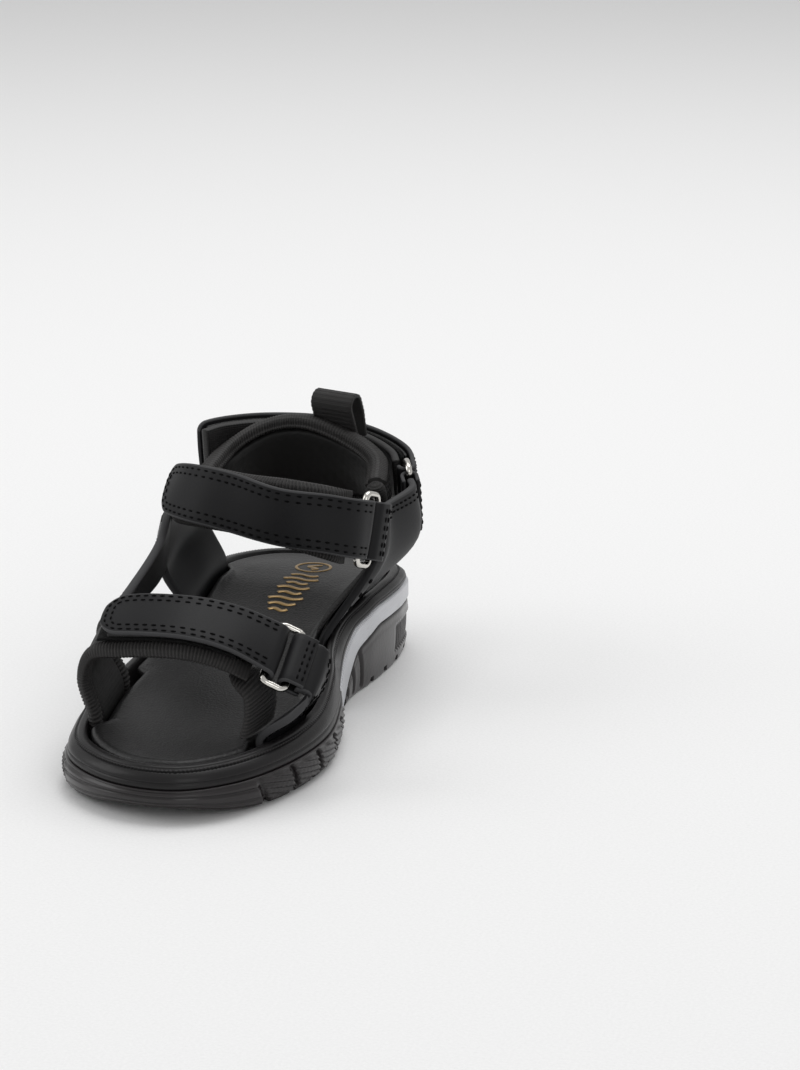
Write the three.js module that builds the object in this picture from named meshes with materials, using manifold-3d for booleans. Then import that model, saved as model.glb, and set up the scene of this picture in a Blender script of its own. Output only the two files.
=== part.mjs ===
// Strappy sport sandal, right foot, in millimetres.
// Frame: +Z up, toe towards -Y, heel towards +Y, inner (medial) side towards +X.
// The origin is on the ground, under the middle of the sole's outline.

import * as THREE from 'three';
import { mergeVertices } from 'three/addons/utils/BufferGeometryUtils.js';
import Module from 'manifold-3d';

const wasm = await Module();
wasm.setup();

// ---------------------------------------------------------------- driving sizes
const soleLength = 188;
const soleWidth = 74;
const strapWidth = 17.5;         // each fastening strap, edge to edge
const bandThickness = 2.4;       // leather and lining of a base band
const tapeThickness = 0.9;       // hook or loop tape
const flapThickness = 1.4;       // leather of a fastening strap
const panelThickness = 2.2;      // inner side panels
const padThickness = 4.6;        // heel collar foam and mesh
const bindingWidth = 4.5;        // ribbed elastic edging
const bindingSwell = 0.5;        // how far the edging stands proud of its band
const ringWire = 2;              // wire of a steel ring
const ringReach = 7;             // between the two bars of a ring
const pullTabWidth = 14.5;
const pullTabHeight = 12.5;
const coverThickness = 1.2;
const boardThickness = 1.6;      // lasting board
const rimInset = 4.5;            // rim's outer edge, in from the sole's widest line
const rimWall = 1.8;
const trayDepth = 8.4;           // from the rim down to the floor of the tray
const treadDepth = 2;
const treadWidth = 2.6;
const clearance = 0.3;           // between pieces that touch
const edgingGap = 0.5;           // between a band and its edging, which twist together

// Layers of a fastening strap, outwards from the face of its base band
const loopFace = bindingSwell + clearance;
const hookFace = loopFace + tapeThickness + clearance;
const flapFace = hookFace + tapeThickness + clearance;
const barRoom = ringWire * 0.75 + 0.1;            // from a bar's axis to the leather round it
const barHeight = flapFace - barRoom;
const halfLength = soleLength / 2;
const halfWidth = soleWidth / 2;

// A place on the sandal: shares of the sole's half width and half length, and a height
const place = (across, along, height) => new THREE.Vector3(across * halfWidth, along * halfLength, height);

const model = new THREE.Group();

// ---------------------------------------------------------------- materials
const finish = (color, roughness, metalness = 0) => new THREE.MeshStandardMaterial({ color, roughness, metalness });
const smoothLeather = finish(0x232325, 0.55);
const grainLeather = finish(0x1b1a1b, 0.5);
const ribbedElastic = finish(0x161414, 0.85);
const liningCloth = finish(0x131213, 0.9);
const meshCloth = finish(0x151515, 0.85);
const loopPile = finish(0x0d0d0d, 1);
const hookPlastic = finish(0x101010, 0.7);
const steel = finish(0xd8d4cc, 0.2, 1);
const whiteRubber = finish(0xf4f4f2, 0.4);
const silverFoam = finish(0xa9abb0, 0.35, 0.6);
const blackRubber = finish(0x1c1a1c, 0.35);
const smokyRubber = finish(0x241f21, 0.2);
const boardFibre = finish(0x5c4a38, 0.9);
const foam = finish(0x2a2a2c, 0.95);

function add(name, geometry, material) {
  const mesh = new THREE.Mesh(geometry, material);
  mesh.name = name;
  model.add(mesh);
  return mesh;
}

// ---------------------------------------------------------------- solids
function solidFrom(points, triangles) {
  const geometry = new THREE.BufferGeometry();
  geometry.setAttribute('position', new THREE.Float32BufferAttribute(points.flatMap((p) => [p.x, p.y, p.z]), 3));
  geometry.setIndex(triangles);
  return geometry;
}

// A closed solid between two grids of points with the same rows and columns
function shellBetween(outer, inner) {
  const rows = outer.length;
  const columns = outer[0].length;
  const points = [...outer.flat(), ...inner.flat()];
  const triangles = [];
  const top = (i, j) => i * columns + j;
  const under = (i, j) => rows * columns + i * columns + j;
  const quad = (a, b, c, d) => triangles.push(a, b, c, a, c, d);
  for (let i = 0; i < rows - 1; i++) {
    for (let j = 0; j < columns - 1; j++) {
      quad(top(i, j), top(i + 1, j), top(i + 1, j + 1), top(i, j + 1));
      quad(under(i, j), under(i, j + 1), under(i + 1, j + 1), under(i + 1, j));
    }
    quad(top(i, 0), under(i, 0), under(i + 1, 0), top(i + 1, 0));
    quad(top(i + 1, columns - 1), under(i + 1, columns - 1), under(i, columns - 1), top(i, columns - 1));
  }
  for (let j = 0; j < columns - 1; j++) {
    quad(top(0, j + 1), under(0, j + 1), under(0, j), top(0, j));
    quad(top(rows - 1, j), under(rows - 1, j), under(rows - 1, j + 1), top(rows - 1, j + 1));
  }
  return solidFrom(points, triangles);
}

function toManifold(geometry) {
  const bare = geometry.clone();
  bare.deleteAttribute('normal');
  bare.deleteAttribute('uv');
  const merged = mergeVertices(bare, 1e-4);
  return new wasm.Manifold(new wasm.Mesh({
    numProp: 3,
    vertProperties: new Float32Array(merged.attributes.position.array),
    triVerts: new Uint32Array(merged.index.array),
  }));
}

function fromManifold(solid) {
  const mesh = solid.getMesh();
  const geometry = new THREE.BufferGeometry();
  geometry.setAttribute('position', new THREE.BufferAttribute(mesh.vertProperties, 3));
  geometry.setIndex(new THREE.BufferAttribute(mesh.triVerts, 1));
  return geometry;
}

// ---------------------------------------------------------------- curved sheets
// Each station gives a point on every edge of a sheet: u runs along the edges, and v from the first to the last.
// The outer face is on the side that the cross product of those two ways points to.
function sheetSurface(stations) {
  const edges = stations[0].map((_, k) => new THREE.CatmullRomCurve3(stations.map((s) => s[k]), false, 'centripetal'));
  const strips = edges.length - 1;
  const at = (u, v) => {
    const k = THREE.MathUtils.clamp(Math.floor(v * strips), 0, strips - 1);
    return edges[k].getPoint(u).lerp(edges[k + 1].getPoint(u), v * strips - k);
  };
  const step = 0.004;
  const along = (u, v) => at(Math.min(u + step, 1), v).sub(at(Math.max(u - step, 0), v)).normalize();
  const across = (u, v = 0.5) => at(u, Math.min(v + step, 1)).sub(at(u, Math.max(v - step, 0))).normalize();
  const normal = (u, v) => along(u, v).cross(across(u, v)).normalize();
  return { at, along, normal, across, width: (u) => at(u, 0).distanceTo(at(u, 1)) };
}

// A layer of a sheet: its span along and across, and its two faces measured out from the surface.
// faces(t) may swell towards the middle of the width, where t is 0.5.
function layer(surface, { span = [0, 1], edges = () => [0, 1], faces, rows = 10, columns = 3 }) {
  const grid = (side) => Array.from({ length: rows + 1 }, (_, i) => {
    const u = THREE.MathUtils.lerp(span[0], span[1], i / rows);
    const [low, high] = edges(u);
    return Array.from({ length: columns + 1 }, (_, j) => {
      const t = j / columns;
      const v = THREE.MathUtils.lerp(low, high, t);
      return surface.at(u, v).addScaledVector(surface.normal(u, v), faces(t)[side]);
    });
  });
  return shellBetween(grid(1), grid(0));
}

const flat = (inner, outer) => () => [inner, outer];
const swollen = (inner, outer, swell) => (t) => [inner - swell * Math.sin(Math.PI * t), outer + swell * Math.sin(Math.PI * t)];

// Edges of a strip of a given width along the middle of a sheet
const strip = (surface, width) => (u) => {
  const half = width / surface.width(u) / 2;
  return [0.5 - half, 0.5 + half];
};
const firstEdge = (surface, width) => (u) => [0, width / surface.width(u)];
const secondEdge = (surface, width) => (u) => [1 - width / surface.width(u), 1];
const between = (surface, gapFirst, gapSecond) => (u) => [gapFirst / surface.width(u), 1 - gapSecond / surface.width(u)];

// The leather strap that goes through a ring: flat to the ring, then folded round its bar.
// The fold is past the free end where the strap runs forward along the sheet, and before it where it runs back.
function foldedStrap(surface, { free, fold }) {
  const rows = 14;
  const columns = 2;
  const foldRows = 5;
  const rounding = 4;              // rows that narrow towards the round free end
  const roundness = 0.45;          // share of the width lost at the very end
  const face = [flapFace, flapFace + flapThickness];
  const grid = (side) => {
    const result = [];
    for (let i = 0; i <= rows; i++) {
      const u = THREE.MathUtils.lerp(free, fold, i / rows);
      const room = i < rounding ? 1 - roundness * (1 - Math.sin((Math.PI / 2) * (i / rounding))) : 1;
      const [low, high] = strip(surface, strapWidth * room)(u);
      result.push(rowAt(surface, u, low, high, columns, face[side]));
    }
    const turn = Math.sign(fold - free);
    const [low, high] = strip(surface, strapWidth)(fold);
    for (let i = 1; i <= foldRows; i++) {
      const angle = Math.PI * i / foldRows;
      const radius = face[side] - barHeight;
      const lift = barHeight + radius * Math.cos(angle);
      const out = turn * radius * Math.sin(angle);
      result.push(rowAt(surface, fold, low, high, columns, lift, out));
    }
    return result;
  };
  const outer = grid(1);
  const inner = grid(0);
  return free < fold ? shellBetween(outer, inner) : shellBetween(inner, outer);
}

function rowAt(surface, u, low, high, columns, lift, out = 0) {
  return Array.from({ length: columns + 1 }, (_, j) => {
    const v = THREE.MathUtils.lerp(low, high, j / columns);
    const normal = surface.normal(u, 0.5);
    return surface.at(u, v).addScaledVector(normal, lift).addScaledVector(surface.along(u, 0.5), out);
  });
}

// ---------------------------------------------------------------- rings
// Where a strap meets its ring: the bar's middle, the way along the bar, the way to the second bar, and out
function barFrame(surface, u, turn) {
  const out = surface.normal(u, 0.5);
  const along = surface.across(u);
  const towards = surface.along(u, 0.5).multiplyScalar(turn);
  towards.addScaledVector(along, -towards.dot(along)).normalize();
  const normal = new THREE.Vector3().crossVectors(along, towards).normalize();
  if (normal.dot(out) < 0) normal.negate();
  const middle = surface.at(u, 0.5).addScaledVector(out, barHeight);
  return { middle, along, towards, out: normal };
}

function addRing(name, frame) {
  const half = strapWidth / 2 + ringWire / 2 + 0.8;
  const corner = 1.6;
  const outline = (grow) => {
    const x = half + grow;
    const low = -grow;
    const high = ringReach + grow;
    const r = corner + grow;
    const points = [];
    const corners = [[x - r, low + r, -90], [x - r, high - r, 0], [-x + r, high - r, 90], [-x + r, low + r, 180]];
    for (const [cx, cy, start] of corners) {
      for (let i = 0; i <= 3; i++) {
        const angle = THREE.MathUtils.degToRad(start + 30 * i);
        points.push(new THREE.Vector2(cx + r * Math.cos(angle), cy + r * Math.sin(angle)));
      }
    }
    return points;
  };
  const shape = new THREE.Shape(outline(ringWire / 2));
  shape.holes.push(new THREE.Path(outline(-ringWire / 2)));
  const geometry = new THREE.ExtrudeGeometry(shape, { depth: ringWire, bevelEnabled: false });
  geometry.translate(0, 0, -ringWire / 2);
  const mesh = add(name, geometry, steel);
  const flip = new THREE.Vector3().crossVectors(frame.along, frame.towards).dot(frame.out) < 0;
  const along = flip ? frame.along.clone().negate() : frame.along;
  mesh.quaternion.setFromRotationMatrix(new THREE.Matrix4().makeBasis(along, frame.towards, frame.out));
  mesh.position.copy(frame.middle);
}

// The tab that ties a ring to a panel: folded round the second bar, with a leg on each side of the panel's edge
function addRingTab(name, frame, thickness, leg) {
  const turns = 6;
  const bar = frame.middle.clone().addScaledVector(frame.towards, ringReach);
  const grid = (radius) => {
    const path = [[leg, -radius]];
    for (let i = 0; i <= turns; i++) {
      const angle = -Math.PI / 2 - (Math.PI * i) / turns;
      path.push([radius * Math.cos(angle), radius * Math.sin(angle)]);
    }
    path.push([leg, radius]);
    return path.map(([reach, lift]) => [-0.5, 0.5].map((side) => bar.clone()
      .addScaledVector(frame.towards, reach)
      .addScaledVector(frame.out, lift)
      .addScaledVector(frame.along, side * strapWidth)));
  };
  const handed = new THREE.Vector3().crossVectors(frame.towards, frame.along).dot(frame.out) > 0;
  const [outer, inner] = [grid(barRoom + thickness), grid(barRoom)];
  add(name, handed ? shellBetween(outer, inner) : shellBetween(inner, outer), smoothLeather);
}

// The edge of a panel that sits between the legs of its tab
function panelEdge(frame) {
  const start = barRoom + ringWire / 2;
  const middle = frame.middle.clone().addScaledVector(frame.towards, ringReach + start);
  return [-0.5, 0.5].map((side) => middle.clone().addScaledVector(frame.along, side * strapWidth));
}

// ---------------------------------------------------------------- sole shape
// Heights along the sole, from shares of the half length to millimetres
function heights(pairs) {
  const line = new THREE.LinearInterpolant(pairs.map((p) => p[0]), pairs.map((p) => p[1]), 1, new Float32Array(1));
  return (share) => line.evaluate(THREE.MathUtils.clamp(share, -1, 1))[0];
}
const rimHeight = heights([[-1, 15], [-0.64, 15.5], [-0.32, 17], [0, 20], [0.21, 23.5], [0.48, 27], [0.64, 27], [0.85, 25.5], [1, 24.5]]);
const underside = heights([[-1, 4.2], [-0.93, 2], [-0.82, 0.4], [-0.72, 0], [-0.3, 0], [0, 0], [0.1, 0], [0.5, 0], [0.85, 0], [0.93, 0.2], [1, 1.6]]);
const stripeTop = heights([[-1, 9], [0.1, 9], [0.13, 9.4], [0.21, 16], [0.33, 21], [0.48, 23.5], [0.64, 23], [0.85, 21.5], [1, 20.5]]);
const stripeUnder = heights([[-1, 0.8], [0.12, 0.8], [0.17, 1.2], [0.235, 6], [0.33, 13.5], [0.48, 17.5], [0.64, 17], [0.85, 15.5], [1, 14.5]]);
const forefootLip = 9;            // top of the forefoot outsole's side
const forefootFloor = 5;          // its floor, under the midsole
const forefootEnd = 0.11;         // where the outsole stops at the waist, as a share of the half length
const heelStart = 0.2;            // and where it starts again
const waistSlant = 0.38;          // the waist lines run forward on the inner side
const lipWidth = 6.6;             // sides of the outsole and stripe, round the middle of the midsole
const footbedInset = 10.9;

const outlinePoints = [
  [0.21, -1], [0.6, -0.894], [0.87, -0.7], [1, -0.45], [0.9, -0.15], [0.79, 0], [0.75, 0.11], [0.75, 0.235],
  [0.81, 0.37], [0.855, 0.53], [0.86, 0.68], [0.77, 0.85], [0.37, 0.985], [-0.1, 1], [-0.54, 0.97], [-0.8, 0.85],
  [-0.895, 0.66], [-0.905, 0.43], [-0.88, 0.19], [-0.96, -0.085], [-1, -0.34], [-0.96, -0.6], [-0.776, -0.83], [-0.3, -0.98]];
const outline = new THREE.CatmullRomCurve3(
  outlinePoints.map(([x, y]) => new THREE.Vector3(x * halfWidth, y * halfLength, 0)), true, 'centripetal').getPoints(600);

// The outline's x at a height along the foot, on the inner side (1) or the outer side (-1)
function edgeX(side, y) {
  let best = 0;
  for (let i = 0; i < outline.length - 1; i++) {
    const [a, b] = [outline[i], outline[i + 1]];
    if ((a.y - y) * (b.y - y) <= 0 && a.y !== b.y) {
      const x = THREE.MathUtils.lerp(a.x, b.x, (y - a.y) / (b.y - a.y));
      if (best === 0 || x * side > best * side) best = x;
    }
  }
  return best;
}

// Stations along the sole, closer together at its ends; the waist's two cuts fall on stations
const tip = 0.9985;
const spread = (from, to, count) => Array.from({ length: count }, (_, i) => THREE.MathUtils.lerp(from, to, i / count));
const soleStations = [
  ...spread(0.055, Math.PI / 2, 11).map((t) => forefootEnd - (forefootEnd + tip) * Math.cos(t)),
  ...spread(forefootEnd, heelStart, 3),
  ...spread(Math.PI / 2, 0.06, 11).map((t) => heelStart + (tip - heelStart) * Math.cos(t)),
  tip];
const slantAt = (share) => waistSlant * Math.max(0, 1 - Math.abs(share - forefootEnd) / 0.75);
const soleColumns = 4;

// A row of points across the sole at one station, moved in from the widest line
function soleRow(share, inset, height) {
  const slant = slantAt(share);
  const ends = [-1, 1].map((side) => {
    let x = side * halfWidth;
    for (let i = 0; i < 14; i++) x = (x + edgeX(side, (share * halfLength) - slant * x)) / 2;
    return x;
  });
  return Array.from({ length: soleColumns + 1 }, (_, j) => {
    const wide = THREE.MathUtils.lerp(ends[0], ends[1], j / soleColumns);
    const x = wide * (1 - inset / halfWidth);
    const y = (share * halfLength - slant * wide) * (1 - inset / halfLength);
    const across = (2 * j) / soleColumns - 1;
    return new THREE.Vector3(x, y, height((y + slant * x) / halfLength, across));
  });
}

// A solid of the sole, from levels of [inset, height(share, across)] that run from its underside to its top
function soleSolid(levels, [from, to] = [-1, 1]) {
  const shares = soleStations.filter((s) => s >= from - 1e-6 && s <= to + 1e-6);
  const grids = levels.map(([inset, height]) => shares.map((s) => soleRow(s, inset, height)));
  const rows = shares.length;
  const points = [];
  const triangles = [];
  const ringOf = (grid) => [
    ...grid.map((row) => row[0]), ...grid[rows - 1].slice(1, -1),
    ...grid.map((row) => row[soleColumns]).reverse(), ...grid[0].slice(1, -1).reverse()];
  const ringStart = grids.map((grid) => {
    const start = points.length;
    points.push(...ringOf(grid));
    return start;
  });
  const around = ringOf(grids[0]).length;
  for (let k = 0; k < grids.length - 1; k++) {
    for (let i = 0; i < around; i++) {
      const next = (i + 1) % around;
      const [a, b, c, d] = [ringStart[k] + i, ringStart[k] + next, ringStart[k + 1] + next, ringStart[k + 1] + i];
      triangles.push(a, c, b, a, d, c);
    }
  }
  for (const [grid, up] of [[grids[0], false], [grids[grids.length - 1], true]]) {
    const start = points.length;
    points.push(...grid.flat());
    const index = (i, j) => start + i * (soleColumns + 1) + j;
    for (let i = 0; i < rows - 1; i++) {
      for (let j = 0; j < soleColumns; j++) {
        const [a, b, c, d] = [index(i, j), index(i, j + 1), index(i + 1, j + 1), index(i + 1, j)];
        if (up) triangles.push(a, b, c, a, c, d);
        else triangles.push(a, c, b, a, d, c);
      }
    }
  }
  return toManifold(solidFrom(points, triangles));
}

const level = (height) => () => height;
const above = (line, lift) => (share) => line(share) + lift;

// Where the face of an upper piece meets the sole, in the channel between the rim and the footbed
const footSink = 3.4;
const channelFace = rimInset + rimWall + clearance + 0.2;
function foot(side, along, inward = 0) {
  const inset = channelFace + inward;
  const y = along * halfLength;
  const x = edgeX(side, y / (1 - inset / halfLength)) * (1 - inset / halfWidth);
  return new THREE.Vector3(x, y, rimHeight(along) - footSink);
}

// Straight above a foot, just clear of the rim
const overRim = (side, along, inward = 0) => foot(side, along, inward).setZ(rimHeight(along) + 0.8);

// ---------------------------------------------------------------- sole pieces
const plug = (grow) => soleSolid([[lipWidth - grow, level(forefootFloor)], [lipWidth - grow, level(60)]]);
const wearFace = above(underside, 0);
const treadInset = 2;              // the side walls curve in this far where they meet the ground

function treadSlots(from, to, count) {
  const slots = [];
  for (let i = 0; i < count; i++) {
    const along = THREE.MathUtils.lerp(from, to, i / (count - 1)) * halfLength;
    const slot = new THREE.BoxGeometry(soleWidth * 1.2, treadWidth, treadDepth * 2);
    slots.push(toManifold(slot.rotateZ(-Math.atan(waistSlant) / 2).translate(0, along, 0)));
  }
  return slots;
}

let forefoot = soleSolid([
  [treadInset, wearFace], [0.5, (s) => underside(s) + 3], [0, (s) => underside(s) * 0.5 + 6], [1.2, level(forefootLip)]],
  [-1, forefootEnd]);
forefoot = forefoot.subtract(plug(0));
for (const slot of treadSlots(-0.72, -0.1, 6)) forefoot = forefoot.subtract(slot);
add('outsole_forefoot', fromManifold(forefoot), smokyRubber);

let heel = soleSolid([
  [treadInset, wearFace], [0.6, (s) => Math.min(underside(s) + 3.5, stripeUnder(s) * 0.45)],
  [0, (s) => stripeUnder(s) * 0.6], [0.9, above(stripeUnder, -clearance)]], [heelStart, 1]);
for (const slot of treadSlots(0.42, 0.78, 4)) heel = heel.subtract(slot);
add('outsole_heel', fromManifold(heel), smokyRubber);

const stripeBody = soleSolid([
  [1.6, above(stripeUnder, 0)], [0.4, (s) => (stripeUnder(s) + stripeTop(s)) / 2], [1.6, above(stripeTop, 0)]],
  [soleStations.find((s) => s > forefootEnd + 1e-6), 1]);
const stripeCut = soleSolid([[lipWidth, level(-5)], [lipWidth, level(60)]]);
add('midsole_stripe', fromManifold(stripeBody.subtract(stripeCut)), silverFoam);

// The middle of the midsole stands on the outsole, inside its lip and the stripe
const coreInset = lipWidth + clearance;
const coreSeat = 0.7;              // the sloping seat under the midsole is less even than a flat one
const coreUnder = (s) => (s < heelStart ? THREE.MathUtils.lerp(forefootFloor, stripeUnder(heelStart),
  THREE.MathUtils.smoothstep(s, forefootEnd, heelStart)) : stripeUnder(s)) + coreSeat;
const shoulder = above(stripeTop, clearance);
const trayFloor = above(rimHeight, -trayDepth);
const midsole = soleSolid([
  [coreInset, coreUnder], [coreInset, shoulder], [1.9, shoulder], [2.2, (s) => (stripeTop(s) + rimHeight(s)) / 2 + 1],
  [rimInset, above(rimHeight, 0)], [rimInset + rimWall, above(rimHeight, 0)], [rimInset + rimWall, trayFloor]]);
add('midsole', fromManifold(midsole), blackRubber);

const boardUnder = above(trayFloor, clearance);
const boardTop = above(boardUnder, boardThickness);
add('lasting_board', fromManifold(soleSolid([[footbedInset + 1, boardUnder], [footbedInset + 1, boardTop]])), boardFibre);

// The footbed is dished: its middle lies lower than its edge
const dish = 1.6;
const coverTop = (s, across) => rimHeight(s) - 0.8 - dish * (1 - across * across);
const coverUnder = (s, across) => coverTop(s, across) - coverThickness;
const foamTop = (s, across) => coverUnder(s, across) - clearance;
add('footbed_foam', fromManifold(soleSolid([
  [footbedInset, above(boardTop, clearance)], [footbedInset, foamTop]])), foam);
add('footbed_cover', fromManifold(soleSolid([
  [footbedInset, coverUnder], [footbedInset, (s, a) => (coverUnder(s, a) + coverTop(s, a)) / 2],
  [footbedInset + 1, coverTop]])), grainLeather);

// ---------------------------------------------------------------- strap assembly
// A base band with ribbed edging, its loop tape, and the strap that passes through the ring and folds back over it
const rings = {};
function addBand(name, surface, { end, tape, free, fold, turn, tail, span = [0, 1], edging = true }) {
  const edge = edging ? bindingWidth + edgingGap : 0;
  const reach = turn > 0 ? [span[0], end] : [1 - end, span[1]];
  add(`${name}_band`, layer(surface, {
    span: reach, edges: between(surface, edge, edge), faces: flat(-bandThickness, 0), rows: 14 }), liningCloth);
  if (edging) {
    const faces = swollen(-bandThickness, 0, bindingSwell);
    add(`${name}_lower_binding`, layer(surface, {
      span: reach, edges: firstEdge(surface, bindingWidth), faces, rows: 14 }), ribbedElastic);
    add(`${name}_upper_binding`, layer(surface, {
      span: reach, edges: secondEdge(surface, bindingWidth), faces, rows: 14 }), ribbedElastic);
  }
  const tapeWidth = strapWidth - 2.5;
  add(`${name}_loop_tape`, layer(surface, {
    span: tape, edges: strip(surface, tapeWidth), faces: flat(loopFace, loopFace + tapeThickness), rows: 12, columns: 2,
  }), loopPile);
  add(`${name}_hook_tape`, layer(surface, {
    span: tail, edges: strip(surface, tapeWidth), faces: flat(hookFace, hookFace + tapeThickness), rows: 12, columns: 2,
  }), hookPlastic);
  add(`${name}_strap`, foldedStrap(surface, { free, fold }), smoothLeather);
  rings[name] = barFrame(surface, fold, turn);
  addRing(`${name}_ring`, rings[name]);
}

// Two ends of an edge, the one nearer the sheet's first edge at the given u first
function orderAlong(ends, surface, u) {
  const start = surface.at(u, 0);
  return ends[0].distanceTo(start) < ends[1].distanceTo(start) ? ends : [ends[1], ends[0]];
}
const upwards = (ends) => (ends[0].z < ends[1].z ? ends : [ends[1], ends[0]]);

// Points just past the end of a sheet, or just outside its second edge
const stepAlong = (surface, u, shares, gap) => shares.map((v) => surface.at(u, v).addScaledVector(surface.along(u, v), gap));
const besideEdge = (surface, shares, gap) => shares.map((u) => surface.at(u, 1).addScaledVector(surface.across(u, 1), gap));

const tongueHalf = (u) => 0.5 * Math.sqrt(Math.max(0.12, 1 - Math.max(0, (u - 0.7) / 0.3) ** 2));

// A webbing loop that stands up from the top of the collar, sewn on at its two ends
function addPullTab() {
  const seat = collar.at(pullSeat, 0.72);
  const out = collar.normal(pullSeat, 0.72);
  const up = collar.across(pullSeat, 0.72);
  const side = new THREE.Vector3().crossVectors(up, out).normalize();
  const legs = 4;
  const bend = 6;
  const inner = [];
  const outer = [];
  const middle = pullTabThickness + clearance + pullTabRoom;
  for (const [radius, list] of [[pullTabRoom, inner], [pullTabRoom + pullTabThickness, outer]]) {
    for (let i = 0; i < legs; i++) list.push([middle + radius * Math.min(1, 0.35 + i / 3), (pullTabHeight * i) / legs]);
    for (let i = 0; i <= bend; i++) {
      const angle = (Math.PI * i) / bend;
      list.push([middle + radius * Math.cos(angle), pullTabHeight + radius * Math.sin(angle)]);
    }
    for (let i = legs - 1; i >= 0; i--) list.push([middle - radius, (pullTabHeight * i) / legs]);
  }
  const grid = (list) => list.map(([depth, rise]) => [-0.5, 0.5].map((share) => seat.clone()
    .addScaledVector(out, depth).addScaledVector(up, rise).addScaledVector(side, share * pullTabWidth)));
  add('pull_tab', shellBetween(grid(inner), grid(outer)), ribbedElastic);
}

// ---------------------------------------------------------------- toe strap
const toeBand = sheetSurface([
  [foot(-1, -0.65), foot(-1, -0.29)],
  [overRim(-1, -0.65), overRim(-1, -0.295)],
  [place(-0.828, -0.644, 27), place(-0.947, -0.309, 29)],
  [place(-0.724, -0.67, 36), place(-0.789, -0.42, 40)],
  [place(-0.447, -0.69, 38.5), place(-0.5, -0.48, 46)],
  [place(0.042, -0.713, 40), place(-0.042, -0.516, 48.3)],
  [place(0.316, -0.69, 37.5), place(0.289, -0.5, 46.2)],
  [place(0.605, -0.644, 31.5), place(0.619, -0.473, 41)]]);
addBand('toe', toeBand, { end: 0.965, tape: [0.47, 0.9], free: 0.5, fold: 1, turn: 1, tail: [0.52, 0.88] });

// ---------------------------------------------------------------- instep strap
const instepBand = sheetSurface([
  [place(-0.821, 0.3, 50), place(-0.816, 0.48, 61.5)],
  [place(-0.711, 0.144, 54.5), place(-0.711, 0.287, 65.5)],
  [place(-0.421, 0.053, 56), place(-0.408, 0.128, 70)],
  [place(-0.079, 0.021, 55.5), place(-0.053, 0.064, 70)],
  [place(0.355, 0, 52.5), place(0.355, 0.005, 70.5)],
  [place(0.6, 0.02, 50), place(0.61, 0.05, 68.5)],
  [place(0.74, 0.065, 47.5), place(0.76, 0.11, 66)],
  [place(0.78, 0.125, 46), place(0.82, 0.185, 63.5)]]);
addBand('instep', instepBand, { end: 0.935, tape: [0.16, 0.9], free: 0.13, fold: 1, turn: 1, tail: [0.17, 0.88] });

// ---------------------------------------------------------------- inner side of the toe
const tabThickness = 1.2;
const tabLeg = 3.6;
const halfPanel = panelThickness / 2;
const ahead = (point, frame) => point.clone().addScaledVector(frame.towards, tabLeg + 1);
addRingTab('toe_ring_tab', rings.toe, tabThickness, tabLeg);

const [toeEdgeFront, toeEdgeRear] = orderAlong(panelEdge(rings.toe), toeBand, 1);
const vampPanel = sheetSurface([
  [toeEdgeFront, toeEdgeRear],
  [ahead(toeEdgeFront, rings.toe), ahead(toeEdgeRear, rings.toe)],
  [place(0.874, -0.69, 23), place(0.937, -0.45, 25)],
  [overRim(1, -0.7, halfPanel), overRim(1, -0.445, halfPanel)],
  [foot(1, -0.7, halfPanel), foot(1, -0.44, halfPanel)]]);
const panelFaces = flat(-halfPanel, halfPanel);
add('vamp_inner_panel', layer(vampPanel, { faces: panelFaces, rows: 8 }), smoothLeather);

// A padded tongue inside that panel, with a round upper end under the toe band
const vampTongue = sheetSurface([
  [place(0.52, -0.735, 17), place(0.62, -0.55, 18)],
  [place(0.535, -0.71, 22.5), place(0.64, -0.54, 24.5)],
  [place(0.505, -0.69, 27.5), place(0.589, -0.54, 30.5)],
  [place(0.326, -0.66, 30.5), place(0.379, -0.56, 33)]]);
add('vamp_inner_tongue', layer(vampTongue, {
  edges: (u) => [0.5 - tongueHalf(u), 0.5 + tongueHalf(u)], faces: swollen(-1.1, 1.1, 0.5), rows: 10 }), ribbedElastic);

// ---------------------------------------------------------------- outer side
const outerQuarter = sheetSurface([
  [foot(-1, 0.63), overRim(-1, 0.63), place(-0.921, 0.66, 40), place(-0.926, 0.59, 57)],
  [foot(-1, 0.48), overRim(-1, 0.48), place(-0.947, 0.52, 39), place(-0.916, 0.49, 57.5)],
  [foot(-1, 0.34), overRim(-1, 0.34), place(-0.963, 0.38, 37), place(-0.905, 0.38, 57)],
  [foot(-1, 0.2), overRim(-1, 0.2), place(-0.93, 0.23, 35), place(-0.884, 0.25, 55)]]);
add('outer_quarter', layer(outerQuarter, { faces: flat(-bandThickness, 0), rows: 8, columns: 6 }), smoothLeather);

const bridgeGap = bindingSwell + clearance;
const bridge = sheetSurface([
  stepAlong(outerQuarter, 1, [0.67, 0.985], bridgeGap),
  [place(-0.85, 0, 35.5), place(-0.78, 0.03, 50)],
  besideEdge(toeBand, [0.31, 0.43], 2 * bridgeGap)]);
add('outer_bridge', layer(bridge, { faces: flat(-bandThickness, 0), rows: 8 }), smoothLeather);

// Mesh insert and badge on the outside of the quarter
const insertThickness = 1;
const insert = { span: [0.3, 0.86], start: 0.38, low: 0.58, high: 0.91 };
const insertShape = (u) => {
  const t = (u - insert.span[0]) / (insert.span[1] - insert.span[0]);
  return [THREE.MathUtils.lerp(insert.start, insert.low, t), insert.high];
};
const insertFace = clearance + 0.8;
add('mesh_insert', layer(outerQuarter, {
  span: insert.span, edges: insertShape, faces: flat(insertFace, insertFace + insertThickness), rows: 6, columns: 5 }), meshCloth);
const badgeFace = insertFace + insertThickness + 2 * clearance;
const badgeThickness = 1.2;
add('badge', layer(outerQuarter, {
  span: [0.52, 0.7], edges: () => [0.62, 0.79], faces: flat(badgeFace, badgeFace + badgeThickness), rows: 4, columns: 4 }), whiteRubber);

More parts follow.
